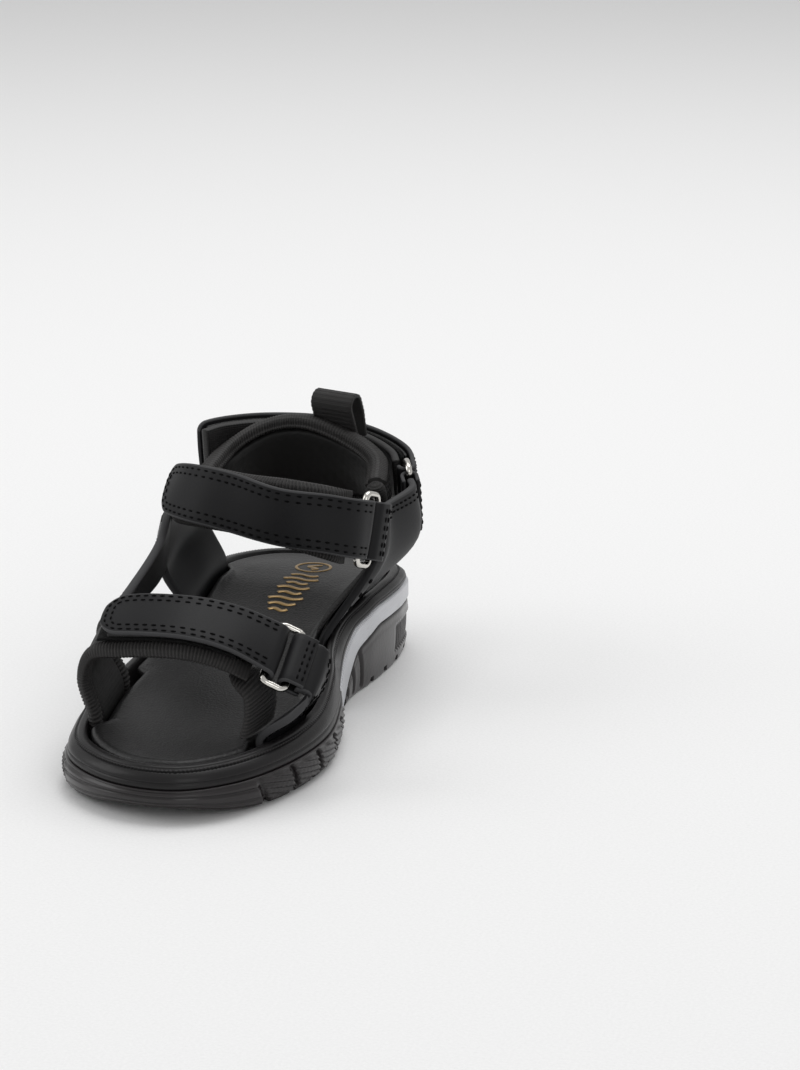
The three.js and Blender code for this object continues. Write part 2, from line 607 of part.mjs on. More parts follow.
// ---------------------------------------------------------------- heel collar
const collar = sheetSurface([
  [place(0.821, 0.53, 47), place(0.779, 0.5, 62)],
  [place(0.751, 0.702, 46), place(0.671, 0.649, 66)],
  [place(0.474, 0.84, 45), place(0.395, 0.72, 70.5)],
  [place(0, 0.894, 44), place(-0.053, 0.745, 75)],
  [place(-0.474, 0.862, 44), place(-0.395, 0.735, 73)],
  [place(-0.777, 0.72, 44.5), place(-0.711, 0.68, 66)],
  [place(-0.858, 0.54, 45), place(-0.826, 0.51, 60)]]);
const collarEdge = bindingWidth + clearance;
add('heel_collar', layer(collar, {
  edges: between(collar, collarEdge, collarEdge), faces: flat(-padThickness, 0), rows: 18 }), meshCloth);
add('collar_lower_binding', layer(collar, {
  edges: firstEdge(collar, bindingWidth), faces: flat(-padThickness, 0), rows: 18 }), ribbedElastic);
add('collar_upper_binding', layer(collar, {
  edges: secondEdge(collar, bindingWidth), faces: flat(-padThickness, 0), rows: 18 }), ribbedElastic);

// ---------------------------------------------------------------- heel strap
const heelBand = sheetSurface([
  [place(0.85, 0.68, 45.5), place(0.85, 0.64, 62.5)],
  [place(0.735, 0.8, 47.5), place(0.715, 0.76, 64.5)],
  [place(0.4, 0.9, 50), place(0.379, 0.86, 67)],
  [place(-0.053, 0.92, 52), place(-0.053, 0.885, 69)],
  [place(-0.5, 0.885, 52.5), place(-0.48, 0.85, 69.5)],
  [place(-0.8, 0.79, 52.5), place(-0.79, 0.755, 69.5)],
  [place(-0.9, 0.69, 52.5), place(-0.9, 0.655, 69.5)]]);
addBand('heel', heelBand, {
  end: 0.95, tape: [0.1, 0.86], free: 0.93, fold: 0, turn: -1, tail: [0.12, 0.9], edging: false });

// ---------------------------------------------------------------- inner quarter
addRingTab('instep_ring_tab', rings.instep, tabThickness, tabLeg);
addRingTab('heel_ring_tab', rings.heel, tabThickness, tabLeg);
const [instepLow, instepHigh] = upwards(panelEdge(rings.instep));
const [heelLow, heelHigh] = upwards(panelEdge(rings.heel));
const innerSeat = halfPanel + 1.1;
const innerQuarter = sheetSurface([
  [foot(1, 0.03, innerSeat), overRim(1, 0.03, innerSeat), instepLow, instepHigh],
  [foot(1, 0.08, innerSeat), overRim(1, 0.08, innerSeat), ahead(instepLow, rings.instep), ahead(instepHigh, rings.instep)],
  [foot(1, 0.2, innerSeat), overRim(1, 0.2, innerSeat), place(0.93, 0.32, 43.5), place(0.92, 0.34, 58)],
  [foot(1, 0.36, innerSeat), overRim(1, 0.36, innerSeat), ahead(heelLow, rings.heel), ahead(heelHigh, rings.heel)],
  [foot(1, 0.42, innerSeat), overRim(1, 0.42, innerSeat), heelLow, heelHigh]]);
add('inner_quarter', layer(innerQuarter, { faces: panelFaces, rows: 12, columns: 6 }), smoothLeather);
add('inner_quarter_lining', layer(innerQuarter, {
  span: [0.2, 0.8], edges: () => [0.36, 0.93], faces: flat(-halfPanel - 2 * clearance - 1.2, -halfPanel - 2 * clearance),
  rows: 7, columns: 6 }), liningCloth);

// ---------------------------------------------------------------- pull tab
const pullTabThickness = 1.3;
const pullTabRoom = 2.4;           // half the finger loop's depth
const pullSeat = 0.41;             // where it is sewn to the collar
addPullTab();

export default model;
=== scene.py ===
# Strappy sport sandal, right foot: its finished surfaces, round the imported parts.
# Metres, +Z up, toe towards -Y, inner side of the foot towards +X.
# Curved pieces are worked out in millimetres and scaled when their points are set.

import math
import random

import bmesh
import bpy
import numpy as np
from mathutils import Matrix, Vector
from mathutils.bvhtree import BVHTree


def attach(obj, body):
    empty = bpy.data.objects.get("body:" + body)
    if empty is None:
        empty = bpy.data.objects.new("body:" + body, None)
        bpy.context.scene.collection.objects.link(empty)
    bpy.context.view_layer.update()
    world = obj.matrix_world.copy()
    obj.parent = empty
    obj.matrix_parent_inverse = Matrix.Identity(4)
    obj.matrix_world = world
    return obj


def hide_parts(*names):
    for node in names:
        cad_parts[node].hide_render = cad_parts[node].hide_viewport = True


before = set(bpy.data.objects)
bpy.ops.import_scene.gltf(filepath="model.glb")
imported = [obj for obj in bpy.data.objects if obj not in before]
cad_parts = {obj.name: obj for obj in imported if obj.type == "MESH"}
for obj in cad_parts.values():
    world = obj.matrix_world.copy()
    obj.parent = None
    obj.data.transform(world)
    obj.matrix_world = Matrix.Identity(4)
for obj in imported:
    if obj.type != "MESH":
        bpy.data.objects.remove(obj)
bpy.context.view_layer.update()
mm = 0.001
print("frame loaded:", len(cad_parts), "nodes")


view = {
    "place": (0.2694, -0.8680, 0.3166),
    "towards": (-0.2389, 0.9306, -0.2773),
    "lens": 108.5,      # on a 36 mm sensor, along the picture's long side
}


def addCamera():
    camera = bpy.data.objects.new("camera", bpy.data.cameras.new("camera"))
    camera.data.lens = view["lens"]
    camera.data.sensor_width = 36
    camera.location = view["place"]
    camera.rotation_euler = Vector(view["towards"]).to_track_quat("-Z", "Y").to_euler()
    bpy.context.scene.collection.objects.link(camera)
    bpy.context.scene.camera = camera


lamps = {
    "top": {"place": (0.1, 0.55, 1.5), "size": 1.3, "power": 13},
    "front": {"place": (0.9, -1.5, 1.0), "size": 1.0, "power": 4.2},
    "side": {"place": (-1.4, -0.3, 0.9), "size": 1.0, "power": 5.5},
}


def addLight():
    for name, lamp in lamps.items():
        light = bpy.data.lights.new(name, "AREA")
        light.size = lamp["size"]
        light.energy = lamp["power"]
        holder = bpy.data.objects.new(name, light)
        holder.location = lamp["place"]
        holder.rotation_euler = (-Vector(lamp["place"])).to_track_quat("-Z", "Y").to_euler()
        bpy.context.scene.collection.objects.link(holder)
    world = bpy.data.worlds.new("studio")
    bpy.context.scene.world = world
    world.use_nodes = True
    world.node_tree.nodes["Background"].inputs["Color"].default_value = (1, 1, 1, 1)
    world.node_tree.nodes["Background"].inputs["Strength"].default_value = 0.56
    bpy.context.scene.view_settings.view_transform = "Standard"


class Value:
    # a socket that adds its own Math nodes
    def __init__(self, finish, socket):
        self.finish = finish
        self.socket = socket

    def __add__(self, other):
        return self.finish.math("ADD", self, other)

    def __mul__(self, other):
        return self.finish.math("MULTIPLY", self, other)

    def __sub__(self, other):
        return self.finish.math("SUBTRACT", self, other)

    def __rsub__(self, other):
        return self.finish.math("SUBTRACT", other, self)

    def __gt__(self, other):
        return self.finish.math("GREATER_THAN", self, other)

    __radd__ = __add__
    __rmul__ = __mul__


class Finish:
    # a material: fixed values go on the shader's own sockets, patterns are linked
    def __init__(self, name, fixed):
        self.material = bpy.data.materials.new(name)
        self.material.use_nodes = True
        self.nodes = self.material.node_tree.nodes
        self.shader = self.nodes["Principled BSDF"]
        for socket, value in fixed.items():
            self.put(self.shader.inputs[socket], value)

    def put(self, socket, value):
        if isinstance(value, Value):
            self.material.node_tree.links.new(value.socket, socket)
        elif isinstance(value, tuple) and len(value) == 3 and socket.type == "RGBA":
            socket.default_value = (*value, 1)
        else:
            socket.default_value = value

    def node(self, kind, settings=None, inputs=None, output=0):
        made = self.nodes.new(kind)
        for key, value in (settings or {}).items():
            setattr(made, key, value)
        for key, value in (inputs or {}).items():
            self.put(made.inputs[key], value)
        return Value(self, made.outputs[output])

    def math(self, operation, *values):
        return self.node("ShaderNodeMath", {"operation": operation}, dict(enumerate(values)))

    def sine(self, value):
        return self.math("SINE", value)

    def coordinates(self, kind="Object"):
        return self.node("ShaderNodeTexCoord", output=kind)

    def split(self, vector, axis):
        return self.node("ShaderNodeSeparateXYZ", inputs={0: vector}, output=axis)

    def noise(self, scale, detail=3, roughness=0.55):
        return self.node("ShaderNodeTexNoise", inputs={
            "Vector": self.coordinates(), "Scale": scale, "Detail": detail, "Roughness": roughness})

    def cells(self, scale):
        return self.node("ShaderNodeTexVoronoi", inputs={"Vector": self.coordinates(), "Scale": scale})

    def mix(self, amount, low, high):
        return self.node("ShaderNodeMix", {"data_type": "RGBA"}, {0: amount, 6: low, 7: high}, output=2)

    def color(self, value):
        self.put(self.shader.inputs["Base Color"], value)

    def rough(self, value):
        self.put(self.shader.inputs["Roughness"], value)

    def bump(self, height, distance):
        made = self.node("ShaderNodeBump", inputs={"Height": height, "Distance": distance, "Strength": 1})
        self.put(self.shader.inputs["Normal"], made)


def shade(tone, factor):
    return tuple(channel * factor for channel in tone)


def leather(name, tone, rough, pores, depth, wear=0.5, shine=0.14):
    finish = Finish(name, {"Specular IOR Level": shine})
    cloud = finish.noise(60, 4)
    fine = finish.cells(pores)
    creases = finish.noise(pores * 0.4, 5, 0.65)
    finish.color(finish.mix(cloud, tone, shade(tone, 1 + wear)))
    finish.rough(rough - 0.06 + cloud * 0.1 + fine * 0.06)
    finish.bump(fine * 0.5 + creases * 0.6, depth)
    return finish.material


def ribbedCloth(name, tone, threads, pitch=1.05):
    # ribs are in the mesh; this adds the fine threads between them, along and across, and colours each rib
    # light on its crest and dark in its trough as painted highlight and shade
    finish = Finish(name, {"Specular IOR Level": 0.45})
    uv = finish.coordinates("UV")
    across = finish.sine(finish.split(uv, 1) * threads)
    along = finish.sine(finish.split(uv, 0) * threads)
    cloud = finish.noise(500, 3)
    # painted highlight and shade: the colour rises and falls with the ribs, light on the crests and dark
    # between them
    ribs = finish.sine(finish.split(uv, 0) * (2 * math.pi / pitch)) * 0.5 + 0.5
    finish.color(finish.mix(ribs * 0.75 + cloud * 0.25, shade(tone, 0.35), shade(tone, 3)))
    finish.rough(0.5 + cloud * 0.2)
    finish.bump(across * 0.5 + along * 0.25 + cloud * 0.6, 0.00008)
    return finish.material


def airMesh(name, tone, pitch):
    # rows of open cells in a square grid
    finish = Finish(name, {"Specular IOR Level": 0.25, "Sheen Weight": 0.02})
    uv = finish.coordinates("UV")
    turn = math.pi / pitch
    across = finish.sine(finish.split(uv, 0) * turn) * finish.sine(finish.split(uv, 1) * turn)
    holes = finish.math("ABSOLUTE", across)
    strands = finish.noise(900, 3)
    opened = (holes > 0.42) * 1.0
    # painted shade: the open cells are coloured far darker than the strands between them, for the shadow inside
    # each cell
    finish.color(finish.mix(holes, shade(tone, 1.9), shade(tone, 0.25)))
    finish.rough(0.85 - opened * 0.05 + strands * 0.1)
    finish.bump((1 - holes) * 1.0 + strands * 0.25, 0.0005)
    return finish.material


def pile(name, tone):
    finish = Finish(name, {"Specular IOR Level": 0.15, "Sheen Weight": 0.05, "Sheen Roughness": 0.35})
    fibre = finish.noise(2200, 6, 0.8)
    clump = finish.noise(420, 3)
    finish.color(finish.mix(fibre * clump * 1.6, tone, shade(tone, 3.5)))
    finish.rough(0.9 + fibre * 0.1)
    finish.bump(fibre + clump * 0.8, 0.0004)
    return finish.material


def rubber(name, tone, rough, grain, coat=0.0):
    finish = Finish(name, {"Coat Roughness": 0.16, "Specular IOR Level": 0.22})
    cloud = finish.noise(45, 3)
    fine = finish.noise(grain, 4)
    finish.color(finish.mix(cloud, tone, shade(tone, 1.7)))
    finish.rough(rough - 0.05 + cloud * 0.12 + fine * 0.06)
    finish.put(finish.shader.inputs["Coat Weight"], coat * 0.8 + cloud * (coat * 0.4))
    finish.bump(fine + cloud * 0.5, 0.00006)
    return finish.material


def silverFoam(name):
    # a fine moulded twill under metallic paint, its raised lines coloured lighter
    finish = Finish(name, {"Coat Weight": 0.2, "Coat Roughness": 0.3})
    uv = finish.coordinates("UV")
    along = finish.split(uv, 0)
    up = finish.split(uv, 1)
    twill = finish.sine(along * 7.2 + finish.sine(up * 5.5) * 1.1)
    cloud = finish.noise(90, 4)
    finish.color(finish.mix(twill * 0.22 + cloud * 0.5, (0.5, 0.505, 0.53), (0.86, 0.87, 0.9)))
    finish.put(finish.shader.inputs["Metallic"], 0.5 + cloud * 0.3)
    finish.rough(0.34 + cloud * 0.14)
    finish.bump(twill + finish.noise(1400, 3) * 0.8, 0.00009)
    return finish.material


def plain(name, tone, rough, metal=0.0, grain=1200, depth=0.00004, shine=0.5):
    finish = Finish(name, {"Metallic": metal, "Specular IOR Level": shine})
    fine = finish.noise(grain, 4)
    finish.color(finish.mix(fine, shade(tone, 0.85), tone))
    finish.rough(rough - 0.04 + fine * 0.08)
    finish.bump(fine, depth)
    return finish.material


def makeMaterials():
    return {
        "smooth_leather": leather("smoothLeather", (0.0085, 0.0085, 0.0092), 0.44, 2600, 0.00003),
        "cut_edge": plain("cutEdge", (0.03, 0.03, 0.032), 0.7),
        "grain_leather": leather("grainLeather", (0.0055, 0.0053, 0.0055), 0.38, 1500, 0.00016, 0.8, 0.36),
        "ribbed_elastic": ribbedCloth("ribbedElastic", (0.0075, 0.0068, 0.0066), 22),
        "lining_cloth": ribbedCloth("liningCloth", (0.0045, 0.0042, 0.0042), 9),
        "collar_lining": plain("collarLining", (0.0045, 0.0042, 0.0042), 0.6, 0, 2200, 0.00006),
        "mesh_cloth": airMesh("meshCloth", (0.009, 0.0088, 0.0088), 1.6),
        "loop_pile": pile("loopPile", (0.0035, 0.0035, 0.0035)),
        "hook_tape": plain("hookTape", (0.006, 0.006, 0.006), 0.6, 0, 1800, 0.0003),
        "ring_steel": plain("ringSteel", (0.7, 0.68, 0.64), 0.14, 1.0),
        "badge_white": plain("badgeWhite", (0.86, 0.86, 0.85), 0.4),
        "badge_black": plain("badgeBlack", (0.01, 0.01, 0.01), 0.5),
        "stripe_foam": silverFoam("silverFoam"),
        "midsole_rubber": rubber("midsoleRubber", (0.006, 0.0055, 0.0058), 0.36, 1500, 0.12),
        "outsole_rubber": rubber("outsoleRubber", (0.0115, 0.0095, 0.01), 0.26, 700, 0.4),
        "board_fibre": plain("boardFibre", (0.11, 0.07, 0.04), 0.85),
        "footbed_foam": plain("footbedFoam", (0.02, 0.02, 0.022), 0.9),
        "thread": plain("blackThread", (0.0016, 0.0016, 0.0018), 0.6, 0, 3000, 0.00005, 0.06),
        "grey_thread": plain("greyThread", (0.2, 0.2, 0.205), 0.5, 0, 3000, 0.00005),
        "gold_print": plain("goldPrint", (0.5, 0.33, 0.14), 0.36, 0.55),
    }


def splinePoint(points, share, closed=False):
    # centripetal Catmull-Rom curve through the points
    count = len(points)
    place = share * (count if closed else count - 1)
    start = min(int(place), count - (1 if closed else 2))
    t = place - start

    def pick(i):
        if closed:
            return points[i % count]
        if i < 0:
            return points[0] * 2 - points[1]
        if i >= count:
            return points[-1] * 2 - points[-2]
        return points[i]

    p0, p1, p2, p3 = (pick(start + k) for k in (-1, 0, 1, 2))
    d0, d1, d2 = (max((b - a).length, 1e-4) ** 0.5 for a, b in ((p0, p1), (p1, p2), (p2, p3)))
    m1 = ((p1 - p0) / d0 - (p2 - p0) / (d0 + d1) + (p2 - p1) / d1) * d1
    m2 = ((p2 - p1) / d1 - (p3 - p1) / (d1 + d2) + (p3 - p2) / d2) * d1
    return p1 + m1 * t + (p1 * -3 + p2 * 3 - m1 * 2 - m2) * t**2 + (p1 * 2 - p2 * 2 + m1 + m2) * t**3


class Sheet:
    # edges run along u, and v goes from the first edge to the last; out is along x across
    def __init__(self, stations, samples=240):
        self.samples = samples
        self.edges = []
        for line in zip(*stations):
            self.edges.append([splinePoint(line, i / samples) for i in range(samples + 1)])
        middle = [self.at(i / samples, 0.5) for i in range(samples + 1)]
        steps = [(b - a).length for a, b in zip(middle, middle[1:])]
        self.reach = np.concatenate([[0], np.cumsum(steps)])
        self.length = float(self.reach[-1])

    def onEdge(self, k, u):
        place = min(max(u, 0), 1) * self.samples
        i = min(int(place), self.samples - 1)
        return self.edges[k][i].lerp(self.edges[k][i + 1], place - i)

    def at(self, u, v):
        strips = len(self.edges) - 1
        if strips > 1:
            return splinePoint([self.onEdge(k, u) for k in range(strips + 1)], min(max(v, 0), 1))
        return self.onEdge(0, u).lerp(self.onEdge(1, u), v)

    def along(self, u, v=0.5):
        return (self.at(min(u + 0.004, 1), v) - self.at(max(u - 0.004, 0), v)).normalized()

    def across(self, u, v=0.5):
        return (self.at(u, min(v + 0.004, 1)) - self.at(u, max(v - 0.004, 0))).normalized()

    def normal(self, u, v=0.5):
        return self.along(u, v).cross(self.across(u, v)).normalized()

    def width(self, u):
        return (self.at(u, 1) - self.at(u, 0)).length

    def distance(self, u):
        return float(np.interp(u * self.samples, range(self.samples + 1), self.reach))

    def uAt(self, distance):
        return float(np.interp(distance, self.reach, range(self.samples + 1))) / self.samples


materials = {}


def finishPiece(bm, name, body, slot, stands=(), names=(), smooth=True):
    mesh = bpy.data.meshes.new(name)
    bm.to_mesh(mesh)
    bm.free()
    for key in names or (slot,):
        mesh.materials.append(materials[key])
    if smooth:
        mesh.shade_smooth()
    piece = bpy.data.objects.new(name, mesh)
    bpy.context.scene.collection.objects.link(piece)
    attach(piece, body)
    if stands:
        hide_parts(*stands)
    return piece


def roundedSection(width, inner, outer, corner, crown=0.0, hollow=0.0, across=8, arc=3):
    # closed section of (distance across, lift); the outer face comes first
    corner = min(corner, (outer - inner) / 2, width / 2)
    points = []
    for k in range(across + 1):
        w = corner + (width - 2 * corner) * k / across
        points.append((w, outer + crown * math.sin(math.pi * w / width)))
    for cx, cy, start in ((width - corner, outer - corner, 90), (width - corner, inner + corner, 0)):
        for k in range(1, arc + 1):
            angle = math.radians(start - 90 * k / arc)
            points.append((cx + corner * math.cos(angle), cy + corner * math.sin(angle)))
    for k in range(1, across + 1):
        w = width - corner - (width - 2 * corner) * k / across
        points.append((w, inner + hollow * math.sin(math.pi * w / width)))
    for cx, cy, start in ((corner, inner + corner, 270), (corner, outer - corner, 180)):
        for k in range(1, arc + (1 if start == 270 else 0)):
            angle = math.radians(start - 90 * k / arc)
            points.append((cx + corner * math.cos(angle), cy + corner * math.sin(angle)))
    sideCount = 2 * arc
    rims = set(range(across, across + sideCount)) | set(range(across + sideCount + across, len(points)))
    return points, rims


def roundSection(radius, count):
    turns = np.linspace(0, 2 * math.pi, count, endpoint=False)
    return [(radius * math.cos(a), radius * math.sin(a)) for a in turns]


def gridSpots(verts, rows, columns):
    # the row and column of each point of a new grid
    return {v: (round((v.co.x + 1) / 2 * rows), round((v.co.y + 1) / 2 * columns)) for v in verts}


def wrap(sections, place, marks, rims=(), closed=False):
    # a grid rolled round the sections, one row each; place(row, w, lift) gives its points
    rows, around = len(sections) - 1, len(sections[0])
    bm = bmesh.new()
    bmesh.ops.create_grid(bm, x_segments=rows, y_segments=around, size=1)
    uvLayer = bm.loops.layers.uv.new("UVMap")
    index = gridSpots(bm.verts, rows, around)
    for face in bm.faces:
        low = min(index[v][1] for v in face.verts)
        face.material_index = 1 if low in rims else 0
        for loop in face.loops:
            i, j = index[loop.vert]
            loop[uvLayer].uv = (marks[i], sections[i][j % around][0])
    for v in bm.verts:
        i, j = index[v]
        w, lift = sections[i][j % around]
        v.co = place(i, w, lift) * mm
    bmesh.ops.remove_doubles(bm, verts=bm.verts, dist=1e-7)
    if not closed:
        bmesh.ops.holes_fill(bm, edges=[e for e in bm.edges if e.is_boundary], sides=0)
    bmesh.ops.recalc_face_normals(bm, faces=bm.faces)
    return bm


def strip(sheet, edges, inner, outer, span=(0, 1), step=1.2, corner=0.5, crown=0.0, hollow=0.0,
          rib=0.0, ribPitch=0.9, across=8, ruffle=0.0, lined=False, taper=0):
    # a layer on a sheet, with rounded edges and, if asked, ribs across it
    start, end = sheet.distance(span[0]), sheet.distance(span[1])
    rows = max(6, round((end - start) / step))
    stops = [start + (end - start) * i / rows for i in range(rows + 1)]
    stops = [start, start + 0.25, *stops[1:-1], end - 0.25, end]
    us = [sheet.uAt(s) for s in stops]
    sections, rims = [], set()
    chance = random.Random(7)
    for i, u in enumerate(us):
        low, high = edges(u)
        width = (high - low) * sheet.width(u)
        squeeze = 0.45 if i in (0, len(us) - 1) else 1
        wave = rib * (math.sin(2 * math.pi * stops[i] / ribPitch) - 1) / 2
        middle = (inner + outer) / 2
        fade = softStep(1, taper, end - stops[i]) if taper else 1
        lowFace = inner * fade + (inner + 0.8) * (1 - fade)
        highFace = outer * fade + (outer - 0.9) * (1 - fade)
        wave *= fade
        faces = [middle + (face - middle) * squeeze for face in (lowFace, highFace)]
        points, rims = roundedSection(width, *faces, corner, crown * fade, hollow * fade, across)
        sections.append([(w, n + (wave if n > middle else -wave) + chance.uniform(-ruffle, ruffle))
                         for w, n in points])

    if lined:
        rims = set(range(across + 3, len(sections[0])))

    def place(i, w, lift):
        u = us[i]
        low, _ = edges(u)
        v = low + w / sheet.width(u)
        return sheet.at(u, v) + sheet.normal(u, min(max(v, 0), 1)) * lift

    return wrap(sections, place, stops, rims)


def fullWidth(u):
    return 0, 1


def inFromEdges(sheet, edge):
    return lambda u: (edge / sheet.width(u), 1 - edge / sheet.width(u))


def firstEdge(sheet, width):
    return lambda u: (0, width / sheet.width(u))


def secondEdge(sheet, width):
    return lambda u: (1 - width / sheet.width(u), 1)


def overhang(sheet, width, past, upper=False):
    if upper:
        return lambda u: (1 - width / sheet.width(u), 1 + past / sheet.width(u))
    return lambda u: (-past / sheet.width(u), width / sheet.width(u))


def midStrip(sheet, width):
    return lambda u: (0.5 - width / sheet.width(u) / 2, 0.5 + width / sheet.width(u) / 2)


def addStitches(bm, path, place, out, length=1.85, width=0.72, pitch=2.5, stretch=0.45):
    # one bead for each stitch along a path of (s, w) points
    steps = [math.dist(a, b) for a, b in zip(path, path[1:])]
    reach = np.concatenate([[0], np.cumsum(steps)])
    columns = list(zip(*path))
    count = max(1, round(reach[-1] / pitch))

    def onPath(distance):
        return [float(np.interp(distance, reach, column)) for column in columns]

    for k in range(count):
        at = (k + 0.5) * reach[-1] / count
        first, last = place(*onPath(at - length / 2)), place(*onPath(at + length / 2))
        middle = (first + last) / 2
        forward = (last - first).normalized()
        up = out(*onPath(at))
        side = forward.cross(up).normalized()
        turn = Matrix((forward, side, forward.cross(side))).transposed().to_4x4()
        size = Matrix.Diagonal((length / 2 * mm, width / 2 * mm, width * stretch * mm, 1))
        bmesh.ops.create_icosphere(bm, subdivisions=1, radius=1,
                                   matrix=Matrix.Translation(middle * mm) @ turn @ size)


def sheetStitches(bm, sheet, path, lift, **look):
    # path in (u, v) of the sheet, sampled finely first
    fine = []
    for a, b in zip(path, path[1:]):
        for k in range(12):
            fine.append((a[0] + (b[0] - a[0]) * k / 12, a[1] + (b[1] - a[1]) * k / 12))
    fine.append(path[-1])
    flatPath = [(sheet.distance(u), v * sheet.width(u)) for u, v in fine]

    def place(s, w):
        u = sheet.uAt(s)
        v = min(max(w / sheet.width(u), 0), 1)
        return sheet.at(u, v) + sheet.normal(u, v) * lift

    def out(s, w):
        u = sheet.uAt(s)
        return sheet.normal(u, min(max(w / sheet.width(u), 0), 1))

    addStitches(bm, flatPath, place, out, **look)


sole = {
    "length": 188, "width": 74,
    "outline": [
        (0.21, -1), (0.6, -0.894), (0.87, -0.7), (1, -0.45), (0.9, -0.15), (0.79, 0), (0.75, 0.11),
        (0.75, 0.235), (0.81, 0.37), (0.855, 0.53), (0.86, 0.68), (0.77, 0.85), (0.37, 0.985),
        (-0.1, 1), (-0.54, 0.97), (-0.8, 0.85), (-0.895, 0.66), (-0.905, 0.43), (-0.88, 0.19),
        (-0.96, -0.085), (-1, -0.34), (-0.96, -0.6), (-0.776, -0.83), (-0.3, -0.98)],
    "rim": [(-1, 15), (-0.64, 15.5), (-0.32, 17), (0, 20), (0.21, 23.5), (0.48, 27), (0.64, 27),
            (0.85, 25.5), (1, 24.5)],
    "underside": [(-1, 4.2), (-0.93, 2), (-0.82, 0.4), (-0.72, 0), (0.85, 0), (0.93, 0.2), (1, 1.6)],
    "stripeTop": [(-1, 9), (0.1, 9), (0.13, 9.4), (0.21, 16), (0.33, 21), (0.48, 23.5), (0.64, 23),
                  (0.85, 21.5), (1, 20.5)],
    "stripeUnder": [(-1, 0.8), (0.12, 0.8), (0.17, 1.2), (0.235, 6), (0.33, 13.5), (0.48, 17.5),
                    (0.64, 17), (0.85, 15.5), (1, 14.5)],
    "forefootEnd": 0.11, "stripeStart": 0.118, "heelStart": 0.2, "waistSlant": 0.38,
    "rimInset": 4.5, "rimWall": 1.8, "clearance": 0.3,
}
halfLength = sole["length"] / 2
halfWidth = sole["width"] / 2


def place(across, along, height):
    return Vector((across * halfWidth, along * halfLength, height))


def heightLine(name, soft=0.025):
    # a height along the sole, evened out over a short stretch
    shares, values = zip(*sole[name])
    stretch = [k * soft for k in (-1, -0.5, 0, 0.5, 1)]
    return lambda share: sum(float(np.interp(share + k, shares, values)) for k in stretch) / len(stretch)


rimHeight = heightLine("rim")
underside = heightLine("underside")
stripeTop = heightLine("stripeTop", 0.02)
stripeUnder = heightLine("stripeUnder", 0.02)


def evenOutline(count):
    # the sole's widest line, at even steps along it, from the inner side of the toe round by the heel
    points = [Vector((x * halfWidth, y * halfLength, 0)) for x, y in sole["outline"]]
    rough = [splinePoint(points, i / 1500, True) for i in range(1501)]
    reach = np.concatenate([[0], np.cumsum([(b - a).length for a, b in zip(rough, rough[1:])])])
    at = np.linspace(0, reach[-1], count, endpoint=False)
    xs = np.interp(at, reach, [p.x for p in rough])
    ys = np.interp(at, reach, [p.y for p in rough])
    return list(zip(xs, ys)), float(reach[-1])


outline, girth = evenOutline(1400)


def edgeX(side, y):
    # the outline's x at a place along the foot, on the inner side (1) or the outer side (-1)
    found = []
    for (ax, ay), (bx, by) in zip(outline, outline[1:] + outline[:1]):
        if (ay - y) * (by - y) <= 0 and ay != by:
            found.append(ax + (bx - ax) * (y - ay) / (by - ay))
    return max(found, key=lambda x: x * side)


def shareOf(x, y):
    # share along the sole of a point, measured parallel to the waist's slanted lines
    share = y / halfLength
    for _ in range(6):
        slant = sole["waistSlant"] * max(0, 1 - abs(share - sole["forefootEnd"]) / 0.75)
        share = (y + slant * x) / halfLength
    return share


outlineShares = [shareOf(x, y) for x, y in outline]


def skinAround(samples, levels):
    # a skin over a run of samples; each level gives a point for a sample, and the run closes on itself
    rows = len(samples)
    bm = bmesh.new()
    bmesh.ops.create_grid(bm, x_segments=rows, y_segments=len(levels) - 1, size=1)
    uvLayer = bm.loops.layers.uv.new("UVMap")
    index = gridSpots(bm.verts, rows, len(levels) - 1)
    steps = [math.dist(a[:2], b[:2]) for a, b in zip(samples, samples[1:] + samples[:1])]
    marks = np.concatenate([[0], np.cumsum(steps)])
    spots = {v: levels[j](*samples[i % rows], float(marks[i])) for v, (i, j) in index.items()}
    for face in bm.faces:
        for loop in face.loops:
            loop[uvLayer].uv = (marks[index[loop.vert][0]], spots[loop.vert][2])
    for v, spot in spots.items():
        v.co = Vector(spot) * mm
    bmesh.ops.remove_doubles(bm, verts=bm.verts, dist=1e-7)
    bmesh.ops.holes_fill(bm, edges=[e for e in bm.edges if e.is_boundary], sides=0)
    bmesh.ops.recalc_face_normals(bm, faces=bm.faces)
    return bm


def region(low, high):
    # outline samples between two waist lines, with the cut across filled in
    around = [(x, y, share) for (x, y), share in zip(outline, outlineShares)]
    inside = [low <= share <= high for _, _, share in around]
    if all(inside):
        return around
    start = next(i for i in range(len(around)) if inside[i] and not inside[i - 1])
    run = []
    for k in range(len(around)):
        spot = around[(start + k) % len(around)]
        if low <= spot[2] <= high:
            run.append(spot)
    ax, ay, aShare = run[-1]
    bx, by, _ = run[0]
    steps = max(8, round(math.dist((ax, ay), (bx, by)) / 0.8))
    run += [(ax + (bx - ax) * k / steps, ay + (by - ay) * k / steps, aShare) for k in range(1, steps)]
    return run


def level(inset, height, shrink=0.0, middle=(0, 0), follow=False):
    # inset moves in from the widest line, and shrink then moves towards the middle of a face
    def spot(x, y, share, s):
        depth = inset(x, y, share, s) if callable(inset) else inset
        px, py = x * (1 - depth / halfWidth), y * (1 - depth / halfLength)
        px += (middle[0] - px) * shrink
        py += (middle[1] - py) * shrink
        at = shareOf(px, py) if follow else share
        return px, py, height(at, px, py, s)
    return spot


def foot(side, along, inward=0.0):
    inset = sole["rimInset"] + sole["rimWall"] + sole["clearance"] + 0.2 + inward
    y = along * halfLength
    x = edgeX(side, y / (1 - inset / halfLength)) * (1 - inset / halfWidth)
    return Vector((x, y, rimHeight(along) - 3.4))


def overRim(side, along, inward=0.0):
    low = foot(side, along, inward)
    return Vector((low.x, low.y, rimHeight(along) + 0.8))


grooves = {"width": 2.6, "depth": 1.9, "forefoot": (-0.72, -0.1, 6), "heel": (0.42, 0.78, 4)}


